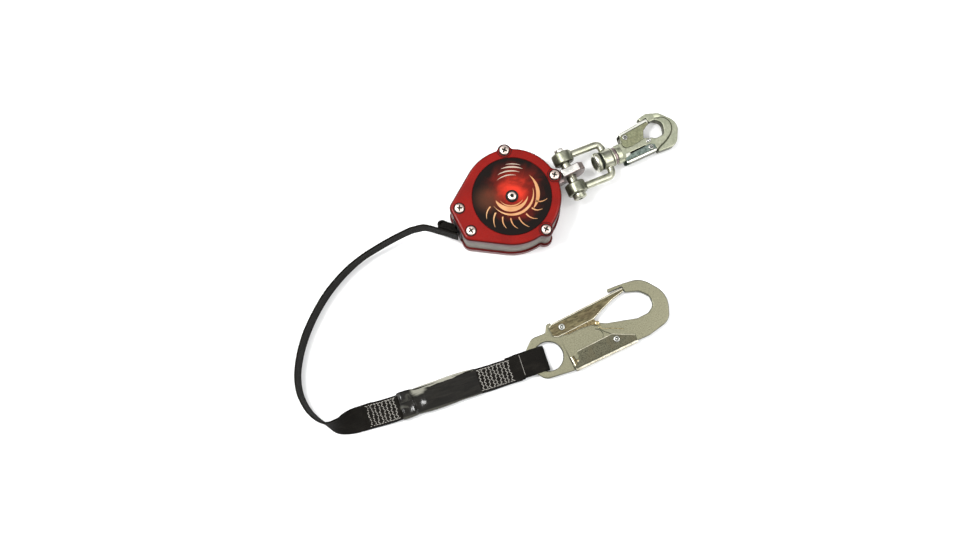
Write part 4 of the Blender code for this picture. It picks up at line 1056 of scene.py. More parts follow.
def make_swivel():
    profile = [(0.0, 29.9), (5.6, 29.6), (6.4, 29.0), (7.0, 28.2), (7.8, 28.0), (8.9, 28.6)]
    profile += [(9.7, 29.6), (10.0, 30.8), (10.0, 32.2), (9.7, 33.0), (9.0, 33.4)]
    profile += [(4.9, 33.4), (4.9, 55.6), (0.0, 55.9)]
    bolt = lathe("swivel_pin", profile, 72, "X")
    # The bolt head's middle is painted dark, a painted shade (1), and its outward face round that a painted
    # highlight (2).
    finish_piece(bolt, "zinc", "anchor_hook", "zinc", ["swivel_bolt"], CONNECTOR, ["dark_zinc", "edge_zinc"],
                 lambda normal, at: at.x < 30.2 and (1 if hypot(at.y, at.z) < 7.1 else 2 * (normal.x < -0.5)))
    # The near black ring in the gap between bolt head and boss is a painted shadow.
    rings = (("swivel_gap_shadow_ring", 5.1, 9.2, 33.5, 35.7, 0.3, 64, "recess", "dark_steel", ()),
             ("washer_inner", 5.2, 9.6, 46.8, 48.6, 0.5, 72, "zinc", "zinc", ["swivel_washer_inner"]),
             ("washer_outer", 5.2, 8.8, 48.9, 51.4, 0.6, 72, "dark_steel", "dark_steel",
              ["swivel_washer_outer"]))
    for name, bore, out, low, high, edge, steps, look, slot, nodes in rings:
        profile = soften([(bore, low), (out, low), (out, high), (bore, high)], edge)
        finish_piece(lathe(name, profile, steps, "X"), look, "anchor_hook", slot, nodes, CONNECTOR)


FOLD_EDGE = 1.35
CREASE_OUT = 0.05
ANCHOR_GATE_PIVOT = (67.0, 12.5)
ANCHOR_LEVER_PIVOT = (88.0, -6.2)
# What the gate and the lever of a hook share: its name, their lowest and highest faces, the sheet's
# thickness, rim and flat ring, the pivot's radius and reach, then their place, looks and kinds of rim
# The extra looks are a painted highlight and a painted shade; the kind of rim says which one the rims get,
# the last flag whether the ends get the painted shade.
ANCHOR_SHEET = ("anchor", -6.0, 6.0, 1.2, 0.4, 0.12, 2.1, (-9.0, 9.0), CONNECTOR, "zinc",
                ["edge_zinc", "dark_zinc"], 2, False)


def near_line(x, y, a, b):
    """How far a point is from the segment between a and b."""
    along = Vector(b) - Vector(a)
    share = max(0.0, min(1.0, (Vector((x, y)) - Vector(a)).dot(along) / along.length_squared))
    return (Vector(a) + along * share - Vector((x, y))).length


def channel(name, outline, room, low, high, skin, fold, edge, flat_ring):
    """A folded sheet: the fold along one line has a wide round edge, its other rims a small one."""
    outline = dense(outline, 1.5)

    def wide(x, y):
        return FOLD_EDGE if near_line(x, y, *fold) < 0.5 else edge
    shell = slab(name, outline, low, high, edge, wide, 5, flat_ring)
    return carve(shell, prism("room", room, low + skin, high - skin))


def riveted(name, place, shank, head, low, high, body, shift, nodes):
    """A rivet whose upper head is peened round a ring; the head's rim and that ring are painted near black, a
    painted shade.
    """
    profile = [(0.0, low), (head * 0.5, low + 0.08), (head * 0.9, low + 0.4), (head, low + 0.8)]
    profile += [(shank, low + 0.8), (shank, high - 0.8), (head, high - 0.8), (head * 0.97, high - 0.45)]
    profile += [(head * 0.85, high - 0.1), (head * 0.7, high), (head * 0.52, high - 0.12)]
    profile += [(head * 0.42, high - 0.6), (head * 0.3, high - 0.62), (head * 0.2, high - 0.3)]
    profile += [(0.0, high - 0.25)]
    made = lathe(name, profile, 40, center=(*place, 0))

    def ring(normal, at):
        out = hypot(at.x - place[0], at.y - place[1]) / head
        return out > 0.93 or (0.32 < out < 0.5 and at.z > high - 0.8)
    return finish_piece(made, "rivet_steel", body, "bright_steel", nodes, shift, ["recess"], ring)


def in_groove(line):
    """Tells the faces inside the grooves forged along a line, and the plate's walls, from the rest; these get
    a painted shade.
    """
    def test(normal, at):
        if abs(abs(at.z) - 4.2) > 0.29 or hypot(at.x, at.y) < 60.0:
            return abs(normal.z) < 0.45 and hypot(at.x, at.y) > 60.0
        return min(near_line(at.x, at.y, a, b) for a, b in zip(line, line[1:])) < 1.0 or abs(normal.z) < 0.45
    return test


def sheet_zone(fold, reach, low, high, crease=None, steep=0.93, rim=1, outline=None):
    """Tells a folded sheet's fold, painted bright as a highlight (1), and its walls and crease, painted dark
    as shade (2), from its flat skins.
    Its rims are rim, but with an outline those along the sheet's ends are 2."""
    def test(normal, at):
        out = max(at.z - high, low - at.z)
        if crease and -0.6 < out <= -0.01 and near_line(at.x, at.y, *crease) < 0.6:
            return 2
        if fold and near_line(at.x, at.y, *fold) < reach:
            return 2 if abs(normal.z) < 0.3 else 1
        if abs(normal.z) < 0.5:
            return 2
        shade = rim
        if outline:
            sides = zip(outline, outline[1:] + outline[:1])
            a, b = min(sides, key=lambda side: near_line(at.x, at.y, *side))
            shade = rim if abs(a[0] - b[0]) > abs(a[1] - b[1]) else 2
            if out > -0.01 and near_line(at.x, at.y, a, b) < 0.7:
                return shade
        return shade if abs(normal.z) < steep else 0
    return test


def folded_sheet(kind, part, look, corners, room, fold, reach, pivot, crease, crease_r, steep):
    """A hook's gate or lever: a sheet folded along one line over the hook's plate, with the hole for
    its rivet and a fine crease along the fold in each skin."""
    name, low, high, skin, edge, flat_ring, bore, span, shift, slot, looks, rim, ends_dark = kind
    body = part.replace("lever", "lock_lever")
    outline = rounded(corners)
    sheet = channel(f"{name}_{part}_sheet", outline, room, low, high, skin, fold, edge, flat_ring)
    carve(sheet, rod("pivot", bore, *span, 32, center=(*pivot, 0)))
    a, b = Vector(crease[0]), Vector(crease[1])
    for z in (low - CREASE_OUT, high + CREASE_OUT):
        track = [(*a.lerp(b, k / 12), z) for k in range(13)]
        carve(sheet, tube("crease", track, crease_r, 12))
    zone = sheet_zone(fold, reach, low, high, crease, steep, rim, outline if ends_dark else None)
    finish_piece(sheet, look, f"{name}_{body}", slot, [f"{name}_{body}"], shift, looks, zone)


def make_anchor_hook():
    corners = [(51.7, -9.0, 1.0), (59.0, -9.0, 1.5), (62.0, -7.0, 2.0), (66.0, -3.2, 2.0)]
    corners += [(84.0, -2.2, 1.0), (86.0, -9.0, 1.0), (93.6, -8.0, 0.9), (94.5, -13.0, 0.9)]
    corners += [(115.0, -13.6, 12.0), (127.0, 8.0, 13.0), (111.5, 24.6, 9.0), (98.0, 28.4, 3.0)]
    corners += [(89.0, 26.2, 1.2), (89.7, 22.7, 1.0), (97.0, 24.2, 0.9), (98.2, 18.8, 1.0)]
    corners += [(103.5, 19.6, 5.0), (111.5, 14.0, 7.0), (108.0, 1.8, 6.0), (98.0, 0.6, 5.0)]
    corners += [(86.0, 5.6, 4.0), (74.0, 6.5, 2.0), (71.3, 7.6, 1.0), (71.3, 16.6, 4.2), (62.6, 15.6, 4.0)]
    corners += [(61.0, 9.0, 1.0), (51.7, 9.0, 1.0)]
    body = slab("anchor_body", dense(rounded(corners), 1.2), -4.5, 4.5, 0.7)
    collar = soften([(0, 51.7), (9.0, 51.7), (9.0, 57.2), (0, 57.2)], 0.8, 15.0)
    carve(body, lathe("collar", collar, 64, "X"), join=True)
    line = [(93.0, -12.0), (97.3, -9.1), (105.0, -6.0), (112.1, -1.6), (116.6, 3.0), (118.6, 8.5)]
    line += [(117.8, 13.4), (114.6, 17.6), (110.0, 19.8), (105.0, 21.0)]
    for side in (1, -1):
        track = smooth_path([(x, y, side * 4.9) for x, y in line], 6)
        carve(body, tube("forged_groove", track, lambda share: 0.95 - 0.5 * share**2, 16))
    carve(body, rod("neck_bore", 5.2, 50.0, 56.3, 48, "X"))
    for place in (ANCHOR_GATE_PIVOT, ANCHOR_LEVER_PIVOT):
        carve(body, rod("pivot", 2.1, -9.0, 9.0, 32, center=(*place, 0)))
    finish_piece(body, "forged_zinc", "anchor_hook", "zinc", ["anchor_hook_body"], CONNECTOR, ["dark_zinc"],
                 in_groove(line))

    gate_line = [(60.8, 2.6, 4.0), (70.0, 1.6, 4.0), (84.5, 4.2, 1.0), (88.8, 13.6, 1.5)]
    gate_line += [(95.6, 16.6, 1.5), (97.0, 19.0, 1.2), (96.0, 23.2, 1.6), (62.5, 18.6, 3.5)]
    room = [(50, -6), (105, -6), (105, 12), (98.6, 14), (94.6, 20.9), (63, 16.7), (50, 14)]
    folded_sheet(ANCHOR_SHEET, "gate", "gate_zinc", gate_line, room, ((62.5, 18.6), (96.0, 23.2)), 3.3,
                 ANCHOR_GATE_PIVOT, ((64.5, 15.6), (94.9, 19.8)), 0.42, 0.93)
    lever_line = [(57.6, -13.2, 1.8), (93.0, -11.4, 1.7), (93.0, -4.6, 1.5), (88.5, -2.5, 2.0)]
    lever_line += [(66.0, -5.2, 2.0), (58.4, -7.4, 1.5)]
    room = [(50, -15), (62.5, -15), (62.5, -10.9), (98, -9.3), (98, 9), (50, 9)]
    folded_sheet(ANCHOR_SHEET, "lever", "lever_zinc", lever_line, room, ((57.6, -13.2), (93.0, -11.4)), 2.0,
                 ANCHOR_LEVER_PIVOT, ((60.0, -10.9), (92.0, -9.2)), 0.36, 0.8)
    tab_line = [(59.2, -8.6, 0.8), (65.0, -5.8, 0.8), (65.6, -3.2, 0.8), (60.6, -3.4, 0.8)]
    tab = slab("anchor_lever_tab", rounded(tab_line), 5.0, 5.95, 0.3)
    # The thumb tab is painted all in the highlight zinc, a painted highlight.
    finish_piece(tab, "edge_zinc", "anchor_lock_lever", "zinc", (), CONNECTOR)
    for name, place in (("gate", ANCHOR_GATE_PIVOT), ("lever", ANCHOR_LEVER_PIVOT)):
        riveted(f"anchor_{name}_pin", place, 1.8, 2.8, -6.9, 6.9, "anchor_hook", CONNECTOR,
                [f"anchor_{name}_rivet"])
    coil = [(87.0 + 0.45 * k / 6, 1.2 + 1.7 * cos(k * pi / 6), 4.3) for k in range(0, 61)]
    coil = [(86.4, -0.8, 4.3)] + coil + [(93.5, 2.4, 4.3), (95.0, 2.2, 4.3)]
    spring = tube("anchor_lever_spring", coil, 0.42, 10)
    finish_piece(spring, "spring_steel", "anchor_hook", "dark_steel", (), CONNECTOR)


# ---------------------------------------------------------------- webbing

ROUTE = (
    (-77.9, 7.4, 23.4, 0),
    (-87.4, 15.9, 22.9, 0),
    (-95.9, 19.1, 21.2, 0),
    (-104.4, 20.9, 19.0, 0),
    (-120.8, 21.6, 16.4, 0),
    (-137.8, 21.0, 14.7, 0),
    (-155.6, 19.4, 13.5, 0),
    (-174.6, 14.8, 12.9, -2),
    (-191.5, 8.2, 12.8, -3),
    (-206.9, 0.2, 12.8, -4),
    (-223.8, -11.4, 12.8, -4),
    (-239.6, -24.9, 12.8, -5),
    (-252.8, -39.7, 12.8, -5),
    (-263.4, -56.0, 12.8, -5),
    (-269.3, -72.6, 12.8, -6),
    (-269.9, -88.6, 12.8, -6),
    (-266.6, -101.4, 12.8, -6),
    (-260.4, -111.4, 12.8, 0),
    (-251.6, -117.6, 11.6, 28),
    (-240.6, -120.1, 7.6, 58),
    (-228.9, -121.8, 3.6, 84),
)
# How the webbing runs on from there, between the folds of the stop and between the plies of the pack
ROUTE_IN = ((-63.2, -7.0, 23.4, 0), (-66.6, -3.8, 23.4, 0), (-72.6, 2.3, 23.4, 0))
ROUTE_OUT = ((-222.0, -122.8, 2.9, 88), (-214.0, -124.1, 2.8, 90))


def strap_section(width, thick, ribs=12, depth=0.14, per_rib=4):
    """(across, out, crosswise millimetres) round a strap: ribbed faces and rounded selvedges."""
    half = width / 2
    out = thick / 2
    edge = out * 0.9
    count = ribs * per_rib
    section = []
    for side in (1, -1):
        for k in range(count + 1):
            across = (half - edge) * (1 - 2 * k / count)
            rib = abs(sin(pi * ribs * k / count)) ** 0.7
            section.append((side * across, side * (out - depth * (1 - rib)), side * across))
        for k in range(1, 6):
            turn = radians(90.0 - 180.0 * k / 6)
            across = -(half - edge) - edge * cos(turn)
            section.append((side * across, side * (out - depth) * sin(turn), -side * half))
    return section


def strap(name, stations, width=WEB_WIDE, thick=WEB_THICK, ribs=12, depth=0.14, start=0.0):
    """Flat webbing through (centre, edge direction, face direction) stations, in millimetres."""
    section = strap_section(width, thick, ribs, depth)
    rings = []
    marks = []
    walked = start
    last = None
    for center, edge, face in stations:
        if last is not None:
            walked += (center - last).length
        last = center
        rings.append([tuple(center + edge * a + face * b) for a, b, _ in section])
        marks.append(walked)
    made = stack(name, rings, 60.0)
    values = []
    for walked in marks:
        for _, _, across in section:
            values += [walked, across, 0.0]
    field = made.data.attributes.new("strap", "FLOAT_VECTOR", "POINT")
    field.data.foreach_set("vector", values)
    return made


def route_stations(spacing=1.2):
    """The lifeline's stations, each leaning by its knots' fourth number in degrees, and its length."""
    knots = smooth_path(ROUTE_IN + ROUTE + ROUTE_OUT, 40)
    even = spaced(knots, spacing)
    length = sum((b.to_3d() - a.to_3d()).length for a, b in zip(knots, knots[1:]))
    made = []
    for i, here in enumerate(even):
        ahead = even[min(i + 1, len(even) - 1)].to_3d()
        behind = even[max(i - 1, 0)].to_3d()
        along = (ahead - behind).normalized()
        level = Vector((0, 0, 1)).cross(along).normalized()
        upright = along.cross(level).normalized()
        lean = radians(here.w)
        edge = upright * cos(lean) + level * sin(lean)
        face = edge.cross(along).normalized()
        made.append((here.to_3d(), edge, face))
    return made, length


def flat_stations(path, edge=(0, 0, 1), way=1.0):
    """Stations along a planar path whose webbing's edges all lie along one direction."""
    made = []
    edge = Vector(edge)
    for i, here in enumerate(path):
        along = (path[min(i + 1, len(path) - 1)] - path[max(i - 1, 0)]).normalized()
        made.append((here, edge, edge.cross(along).normalized() * way))
    return made


def spaced(path, step):
    """Evenly spaced points along a polyline."""
    even = [path[0]]
    walked = 0.0
    goal = step
    for a, b in zip(path, path[1:]):
        length = (b.to_3d() - a.to_3d()).length
        while walked + length >= goal:
            even.append(a.lerp(b, (goal - walked) / length))
            goal += step
        walked += length
    if (even[-1] - path[-1]).length > 1e-3:
        even.append(path[-1])
    return even


def stitch_rows(name, rows, look, body, slot, shift, long=2.4, thick=0.42):
    """Short raised threads; each row is a list of (point, direction, up)."""
    points = []
    faces = []
    for point, along, up in rows:
        side = along.cross(up).normalized()
        base = len(points)
        for k in range(5):
            share = k / 4
            rise = sin(pi * share)
            center = point + along * (long * (share - 0.5)) + up * (thick * 0.45 * rise - thick * 0.25)
            radius = thick * (0.35 + 0.65 * rise)
            for j in range(6):
                turn = pi * 2 * j / 6
                spot = center + side * (radius * cos(turn)) + up * (radius * 0.8 * sin(turn))
                points.append(tuple(spot))
        for k in range(4):
            for j in range(6):
                i = (j + 1) % 6
                low = base + k * 6
                faces.append((low + j, low + i, low + 6 + i, low + 6 + j))
        faces.append(tuple(base + j for j in range(6)))
        faces.append(tuple(base + 24 + j for j in range(6)))
    made = solid(name, points, faces, 80.0)
    return finish_piece(made, look, body, slot, (), shift, smooth=80.0)


def make_lifeline():
    stations, length = route_stations()
    webbing = strap("lifeline_strap", stations)
    finish_piece(webbing, "webbing", "lifeline", "webbing", ["lifeline_webbing"], smooth=60.0)
    return webbing, [tuple(c * MM for c in p) for p, _, _ in stations], length


def make_tail_and_stop():
    """The tail runs out through the mouth; folds of the webbing lie across it, sewn into a stop."""
    foot, along, normal = tail_line()
    lift = Vector((0, 0, (WEB_LOW + WEB_HIGH) / 2))

    def spot(a, c):
        p = foot + along * a + normal * c
        return Vector((p.x, p.y, 0)) + lift

    tail_path = spaced([spot(0.6, 0), spot(46.6, 0)], 1.5)
    tail = strap("tail_strap", flat_stations(tail_path), 24.9, 2.15)
    finish_piece(tail, "webbing", "lifeline", "webbing", ["webbing_tail"], smooth=60.0)
    bends = [(-61.8, 3.2), (-63.9, 5.2), (-66.4, 7.7), (-69.0, 10.7), (-70.8, 12.2), (-73.2, 12.5)]
    bends += [(-74.9, 11.2), (-75.2, 9.2), (-73.9, 7.3), (-71.6, 5.0), (-68.3, 1.5), (-64.9, -1.9)]
    bends += [(-63.0, -3.5), (-62.5, -2.0), (-64.1, 0.4), (-66.6, 3.2), (-69.1, 6.0), (-70.9, 8.3)]
    bends += [(-72.5, 9.7)]
    path = smooth_path([(x, y, lift.z) for x, y in bends], 8)
    stop = strap("stop_strap", flat_stations(spaced(path, 0.6)), 24.8, 2.2, depth=0.12, start=50.0)
    finish_piece(stop, "webbing", "lifeline", "webbing", ["webbing_stop"], smooth=60.0)
    core = [(-62.4, -5.2), (-61.9, 2.0), (-66.0, 6.3), (-69.7, 10.2), (-72.8, 10.6), (-74.0, 8.4)]
    core += [(-69.0, 1.2)]
    core = rounded([(x, y, 1.2) for x, y in core])
    filler = slab("stop_core", core, WEB_LOW + 0.8, WEB_HIGH - 0.9, 0.4)
    give_strap_marks(filler, (0.6, 0.9, 0.5))
    finish_piece(filler, "webbing", "lifeline", "webbing", (), smooth=60.0)
    lean = Vector((0.72, -0.69, 0.0)).normalized()
    out = Vector((-0.69, -0.72, 0.0)).normalized()
    rows = []
    for column in range(3):
        for k in range(7):
            base = Vector((-74.2, 3.55, lift.z - 10.2 + 3.4 * k)) + lean * (3.6 * column + 1.5)
            rows.append((base + out * 0.1, UP, out))
    stitch_rows("stop_stitches", rows, "dark_thread", "lifeline", "webbing", None, 2.6, 0.3)


def give_strap_marks(made, scale):
    """Webbing marks for a piece that isn't a strap: its own millimetres, turned into length and width."""
    mesh = made.data
    field = mesh.attributes.get("strap") or mesh.attributes.new("strap", "FLOAT_VECTOR", "POINT")
    values = []
    for vertex in mesh.vertices:
        x, y, z = vertex.co
        values += [x * scale[0] + y * scale[1], z * scale[2] * 2.0, 0.0]
    field.data.foreach_set("vector", values)


def read_off(table, x, eased=False):
    """The rest of a table's row at x, between the rows on either side of it."""
    for (a, *here), (b, *there) in zip(table, table[1:]):
        if x <= b:
            share = max(0.0, (x - a) / (b - a))
            if eased:
                share = share * share * (3 - 2 * share)
            return [low + (high - low) * share for low, high in zip(here, there)]
    return list(table[-1][1:])


# The pack's height above the ground along its length
PACK_HEIGHTS = ((-88.8, 4.4), (-84.0, 5.8), (-80.0, 7.0), (-52.0, 8.2), (-45.0, 8.6), (31.0, 8.6),
                (40.0, 8.2), (66.0, 8.0), (72.0, 8.4), (90.0, 9.9))
# The sleeve's side reach and its roof: a full cap, a pinched waist, then a flat run
SLEEVE = ((-50.0, 13.1, 9.2), (-49.0, 13.7, 10.2), (-46.0, 13.9, 10.9), (-41.0, 13.8, 11.0),
          (-36.5, 13.5, 10.7), (-33.5, 12.9, 9.5), (-30.0, 13.1, 9.4), (-20.0, 13.6, 9.45), (0.0, 13.7, 9.4),
          (20.0, 13.4, 9.35), (28.0, 13.1, 9.3), (31.0, 12.8, 9.0))
SLEEVE_START = -50.0
SLEEVE_END = 31.0
# Two wrinkles across the sleeve: the middle, how far they reach along and across, and how steep they are
WRINKLES = ((-38.6, -6.3, 3.9, 6.2, 0.27), (-28.6, -6.1, 6.4, 4.2, 0.19))
BELL = 2.718


def pack_outline(x):
    return read_off(PACK_HEIGHTS, x)[0]


def loft(name, xs, section, count):
    """A closed soft body whose cross-section at each x is section(x, turn) -> (y, z)."""
    turns = [2 * pi * k / count for k in range(count)]
    return stack(name, [[(x, *section(x, turn)) for turn in turns] for x in xs], 70.0)


def rounded_box_point(turn, low, high, floor, roof):
    """A point round a soft rectangle."""
    c, s = cos(turn), sin(turn)
    reach = (abs(c) ** 5.0 + abs(s) ** 5.0) ** -0.2
    y = (low + high) / 2 + (high - low) / 2 * c * reach
    z = (floor + roof) / 2 + (roof - floor) / 2 * s * reach
    return y, z


def pack_middle(x):
    """How far the pack lies to one side of its own straight line."""
    return -0.75 + 0.35 * sin(x * 0.055 + 0.6) + 0.25 * sin(x * 0.13)


def make_pack():
    """Folded absorber webbing: three plies with their edges showing, sewn at both ends."""
    plies = ((-90.0, 72.0), (-89.2, 73.0), (-86.5, 76.0))
    count = len(plies)
    for ply, (start, end) in enumerate(plies):
        share = (ply + 0.5) / count
        upper = ply == count - 1
        path = []
        for k in range(131):
            x = start + (end - start) * k / 130
            rise = 0.5 + (pack_outline(x) - 0.5) * share
            if upper:
                rise -= 1.5 * max(0.0, (-80.0 - x) / 6.5) ** 2
            crown = 0.12 * sin(x * 0.45) * (1.0 if x > 33.0 or x < -53.0 else 0.0)
            path.append(Vector((x, pack_middle(x) + 0.2 * sin(x * 0.11 + ply * 2.1), rise + crown)))
        stations = flat_stations(path, (0, 1, 0), -1.0)
        width = WEB_WIDE - 0.3 * ply
        webbing = strap(f"pack_ply_{ply + 1}", stations, width, 8.0 / count * 0.96, 12, 0.16, 17.0 * ply)
        nodes = ["absorber_pack"] if upper else ()
        finish_piece(webbing, "webbing", "lifeline", "webbing", nodes, PACK, smooth=60.0)
    for name, low, high, columns in (("stitch_far", -80.5, -54.0, 8), ("stitch_near", 33.5, 67.0, 10)):
        rows = []
        for column in range(columns):
            x = low + (high - low) * column / (columns - 1)
            for k in range(11):
                y = pack_middle(x) - 9.8 + 19.6 * (k + 0.5) / 11
                swing = 1 if (k + column) % 2 else -1
                drift = 0.5 * sin(column * 2.3 + k * 0.9)
                top = pack_outline(x) + 0.02 + 0.12 * sin(x * 0.45)
                rows.append((Vector((x + drift, y, top)), Vector((2.0 * swing, 1.78, 0)).normalized(), UP))
        for side in (-10.4, 10.0):
            count = int((high - low) / 2.6)
            for k in range(count + 1):
                x = low - 0.8 + (high - low + 1.6) * k / count
                point = Vector((x, pack_middle(x) + side, pack_outline(x) + 0.02))
                rows.append((point, Vector((1.0, 0.1 * (-1) ** k, 0)).normalized(), UP))
        stitch_rows(name, rows, "thread", "lifeline", "webbing", PACK, 2.7, 0.34)


def make_sleeve():
    """The shrunk film round the pack, with a flat seam along one edge."""
    def section(x, turn):
        reach, roof = read_off(SLEEVE, x, True)
        middle = pack_middle(x)
        y, z = rounded_box_point(turn, middle - reach, middle + reach, 0.08, roof)
        seam = max(0.0, min(1.0, (x + 36.0) / 6.0)) * max(0.0, min(1.0, (30.0 - x) / 30.0)) ** 0.5
        outer = max(0.0, (y - middle) / reach - 0.72) / 0.28
        if z > 4.0:
            ripple = noise.noise(Vector((x * 0.06, y * 0.10, 0.0))) * 0.35
            crease = noise.noise(Vector((x * 0.30, y * 0.06 + 7, 3.0))) * 0.05
            z -= abs(ripple) + abs(crease) + 2.6 * seam * outer**1.5
            for x0, y0, wide, tall, steep in WRINKLES:
                lean = 0.99 * (x - x0) - 0.125 * (y - y0)
                z += steep * lean * BELL ** (-((x - x0) / wide) ** 2 / 2 - ((y - y0) / tall) ** 2 / 2)
        return y + 0.5 * seam * outer, max(0.06, z)
    xs = [SLEEVE_START + (SLEEVE_END - SLEEVE_START) * k / 150 for k in range(151)]
    outer = loft("sleeve_film", xs, section, 140)

    def inner(x, turn):
        y, z = section(x, turn)
        middle = pack_middle(x)
        return middle + (y - middle) * 0.962, 4.6 + (z - 4.6) * 0.92
    hollow = loft("hollow", [SLEEVE_START - 1.0] + xs[1:-1] + [SLEEVE_END + 1.0], inner, 140)
    carve(outer, hollow)
    finish_piece(outer, "sleeve", "lifeline", "sleeve", ["absorber_sleeve"], PACK, smooth=60.0)


def make_loop():
    """The eye of webbing round the hook's bar, whose two ends are sewn into the pack."""
    low, high, right = 1.35, 9.35, 100.9
    bend = (high - low) / 2
    middle = low + bend
    path = [(62.0, 0.5, 2.2), (70.0, 0.5, 2.0), (78.0, 0.5, low + 0.1), (86.0, 0.5, low)]
    path += [(x, 0.5, z) for x, z in arc((right - bend, middle), bend, -90.0, 90.0, 12)]
    path += [(89.0, 0.5, high), (81.0, 0.5, high - 0.1), (74.5, 0.45, high - 0.55)]
    path += [(70.0, 0.3, high - 0.85), (66.0, 0.0, high - 2.0), (62.0, -0.2, high - 3.2)]
    path = spaced(smooth_path(path, 6), 0.9)
    loop = strap("loop_strap", flat_stations(path, (0, 1, 0)), WEB_WIDE, 2.15)
    finish_piece(loop, "webbing", None, "webbing", ["webbing_loop"], PACK, smooth=60.0)
    threads = []
    for k in range(12):
        point = Vector((76.3, -9.0 + 19.0 * k / 11, high + 0.78))
        threads.append((point, Vector((0.06, 1.0, 0)).normalized(), UP))
    seam = stitch_rows("seam_near", threads, "thread", None, "webbing", PACK, 1.7, 0.26)
    start, end = (tuple(PACK @ Vector((x, 0, 5)) * MM) for x in (71.0, 88.0))
    for soft in (loop, seam):
        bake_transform(soft)
        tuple(start)
        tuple(end)


# ---------------------------------------------------------------- line hook

LINE_GATE_PIVOT = (-34.0, 18.0)
LINE_LEVER_PIVOT = (10.0, -15.5)
SHEET_LOW = PLATE_LOW - GAP - FOLD
SHEET_HIGH = PLATE_HIGH + GAP + FOLD
# The line hook's rims get the painted highlight and its ends the painted shade.
LINE_SHEET = ("line", SHEET_LOW, SHEET_HIGH, FOLD, 0.35, 0.3, 2.5, (-2.0, 14.0), LINE_HOOK, "bronze_zinc",
              ["edge_gold", "dark_zinc"], 1, True)


def rim_depth(x, y):
    """The forged hook's rims: wider round its nose and round its eye."""
    nose = max(0.0, min(1.0, (x - 44.0) / 6.0))
    eye = max(0.0, min(1.0, (-52.0 - x) / 6.0))
    return 0.6 + 0.5 * nose + 0.4 * eye


def make_line_hook():
    corners = [(-79.0, -8.0, 14.0), (-70.0, -22.0, 10.0), (-40.0, -26.0, 8.0), (-38.5, -25.8, 0.9)]
    corners += [(-37.0, -17.2, 1.0), (0.0, -20.2, 8.0), (19.0, -25.0, 2.0), (42.0, -25.5, 10.0)]
    corners += [(66.0, -20.5, 14.0), (76.4, 4.0, 24.0), (58.5, 29.6, 22.0), (41.0, 32.0, 8.0)]
    corners += [(23.2, 33.4, 1.2), (22.6, 30.0, 0.9), (37.6, 29.4, 0.8), (38.4, 23.0, 0.9)]
    corners += [(50.5, 18.6, 9.0), (58.8, 9.6, 8.0), (57.8, 0.0, 7.0), (50.5, -5.0, 8.0), (38.0, -5.4, 12.0)]
    corners += [(8.0, 3.0, 10.0), (-5.0, 9.5, 3.0), (-22.0, 11.0, 3.0), (-25.0, 19.0, 2.0)]
    corners += [(-33.0, 22.7, 3.0), (-42.2, 22.4, 0.9), (-42.6, 26.8, 1.0), (-47.0, 26.8, 3.0)]
    corners += [(-51.0, 19.6, 3.0), (-66.0, 20.6, 10.0), (-80.5, 8.0, 14.0)]
    outline = dense(rounded(corners, 5.0), 1.5)
    body = slab("line_body", outline, PLATE_LOW, PLATE_HIGH, wide=rim_depth, steps=5)
    eye = [(0.0, -1.0), (16.3, -1.0), (16.3, 1.7), (15.2, 2.8), (14.6, 3.4)]
    eye += [(14.6, 7.2), (15.2, 7.8), (16.3, 8.9), (16.3, 12.0), (0.0, 12.0)]
    carve(body, lathe("eye", eye, 120, center=(-58.0, -2.6, 0)))
    for place in (LINE_GATE_PIVOT, LINE_LEVER_PIVOT):
        carve(body, rod("pivot", 2.5, 0.0, 12.0, 32, center=(*place, 0)))
    # The plate's walls are painted dark, a painted shade (2), and the flat-most part of its rounded rims
    # bright, a painted highlight (1).
    finish_piece(body, "yellow_zinc", "line_hook", "yellow_zinc", ["line_hook_body"], LINE_HOOK,
                 ["edge_gold", "dark_zinc"],
                 lambda normal, at: 2 if abs(normal.z) < 0.9 else abs(normal.z) < 0.985)

    gate_line = [(-46.5, 13.0, 4.0), (-41.0, 10.5, 3.0), (-2.0, 12.0, 1.0), (10.0, 17.0, 6.0)]
    gate_line += [(24.0, 22.0, 6.0), (37.2, 24.6, 1.0), (37.2, 28.7, 1.7), (-40.0, 25.4, 3.0)]
    gate_line += [(-46.5, 23.0, 3.0)]
    room = [(-60, 0), (45, 0), (45, 20.5), (38.5, 26.9), (-41.0, 23.4), (-41.0, 30), (-60, 30)]
    folded_sheet(LINE_SHEET, "gate", "bronze_zinc", gate_line, room, ((-40.0, 25.4), (37.2, 28.7)), 1.8,
                 LINE_GATE_PIVOT, ((-40.0, 23.5), (34.0, 26.6)), 0.36, 0.96)

    lever_line = [(-40.8, -20.5, 1.0), (-38.4, -27.6, 1.6), (28.3, -26.9, 1.7), (28.6, -19.2, 1.0)]
    lever_line += [(8.0, -8.6, 3.0), (-30.5, -9.8, 1.5), (-33.0, -19.0, 1.0)]
    room = [(-60, -30), (-35, -30), (-35, -26.3), (40, -25.7), (40, 0), (-60, 0)]
    folded_sheet(LINE_SHEET, "lever", "lever_bronze", lever_line, room, ((-38.4, -27.6), (28.3, -26.9)), 2.2,
                 LINE_LEVER_PIVOT, ((-36.0, -25.1), (27.6, -24.4)), 0.4, 0.96)
    for name, place in (("gate", LINE_GATE_PIVOT), ("lever", LINE_LEVER_PIVOT)):
        riveted(f"line_{name}_pin", place, 2.2, 3.3, 0.02, SHEET_HIGH + 1.2, "line_hook", LINE_HOOK,
                [f"line_{name}_rivet"])


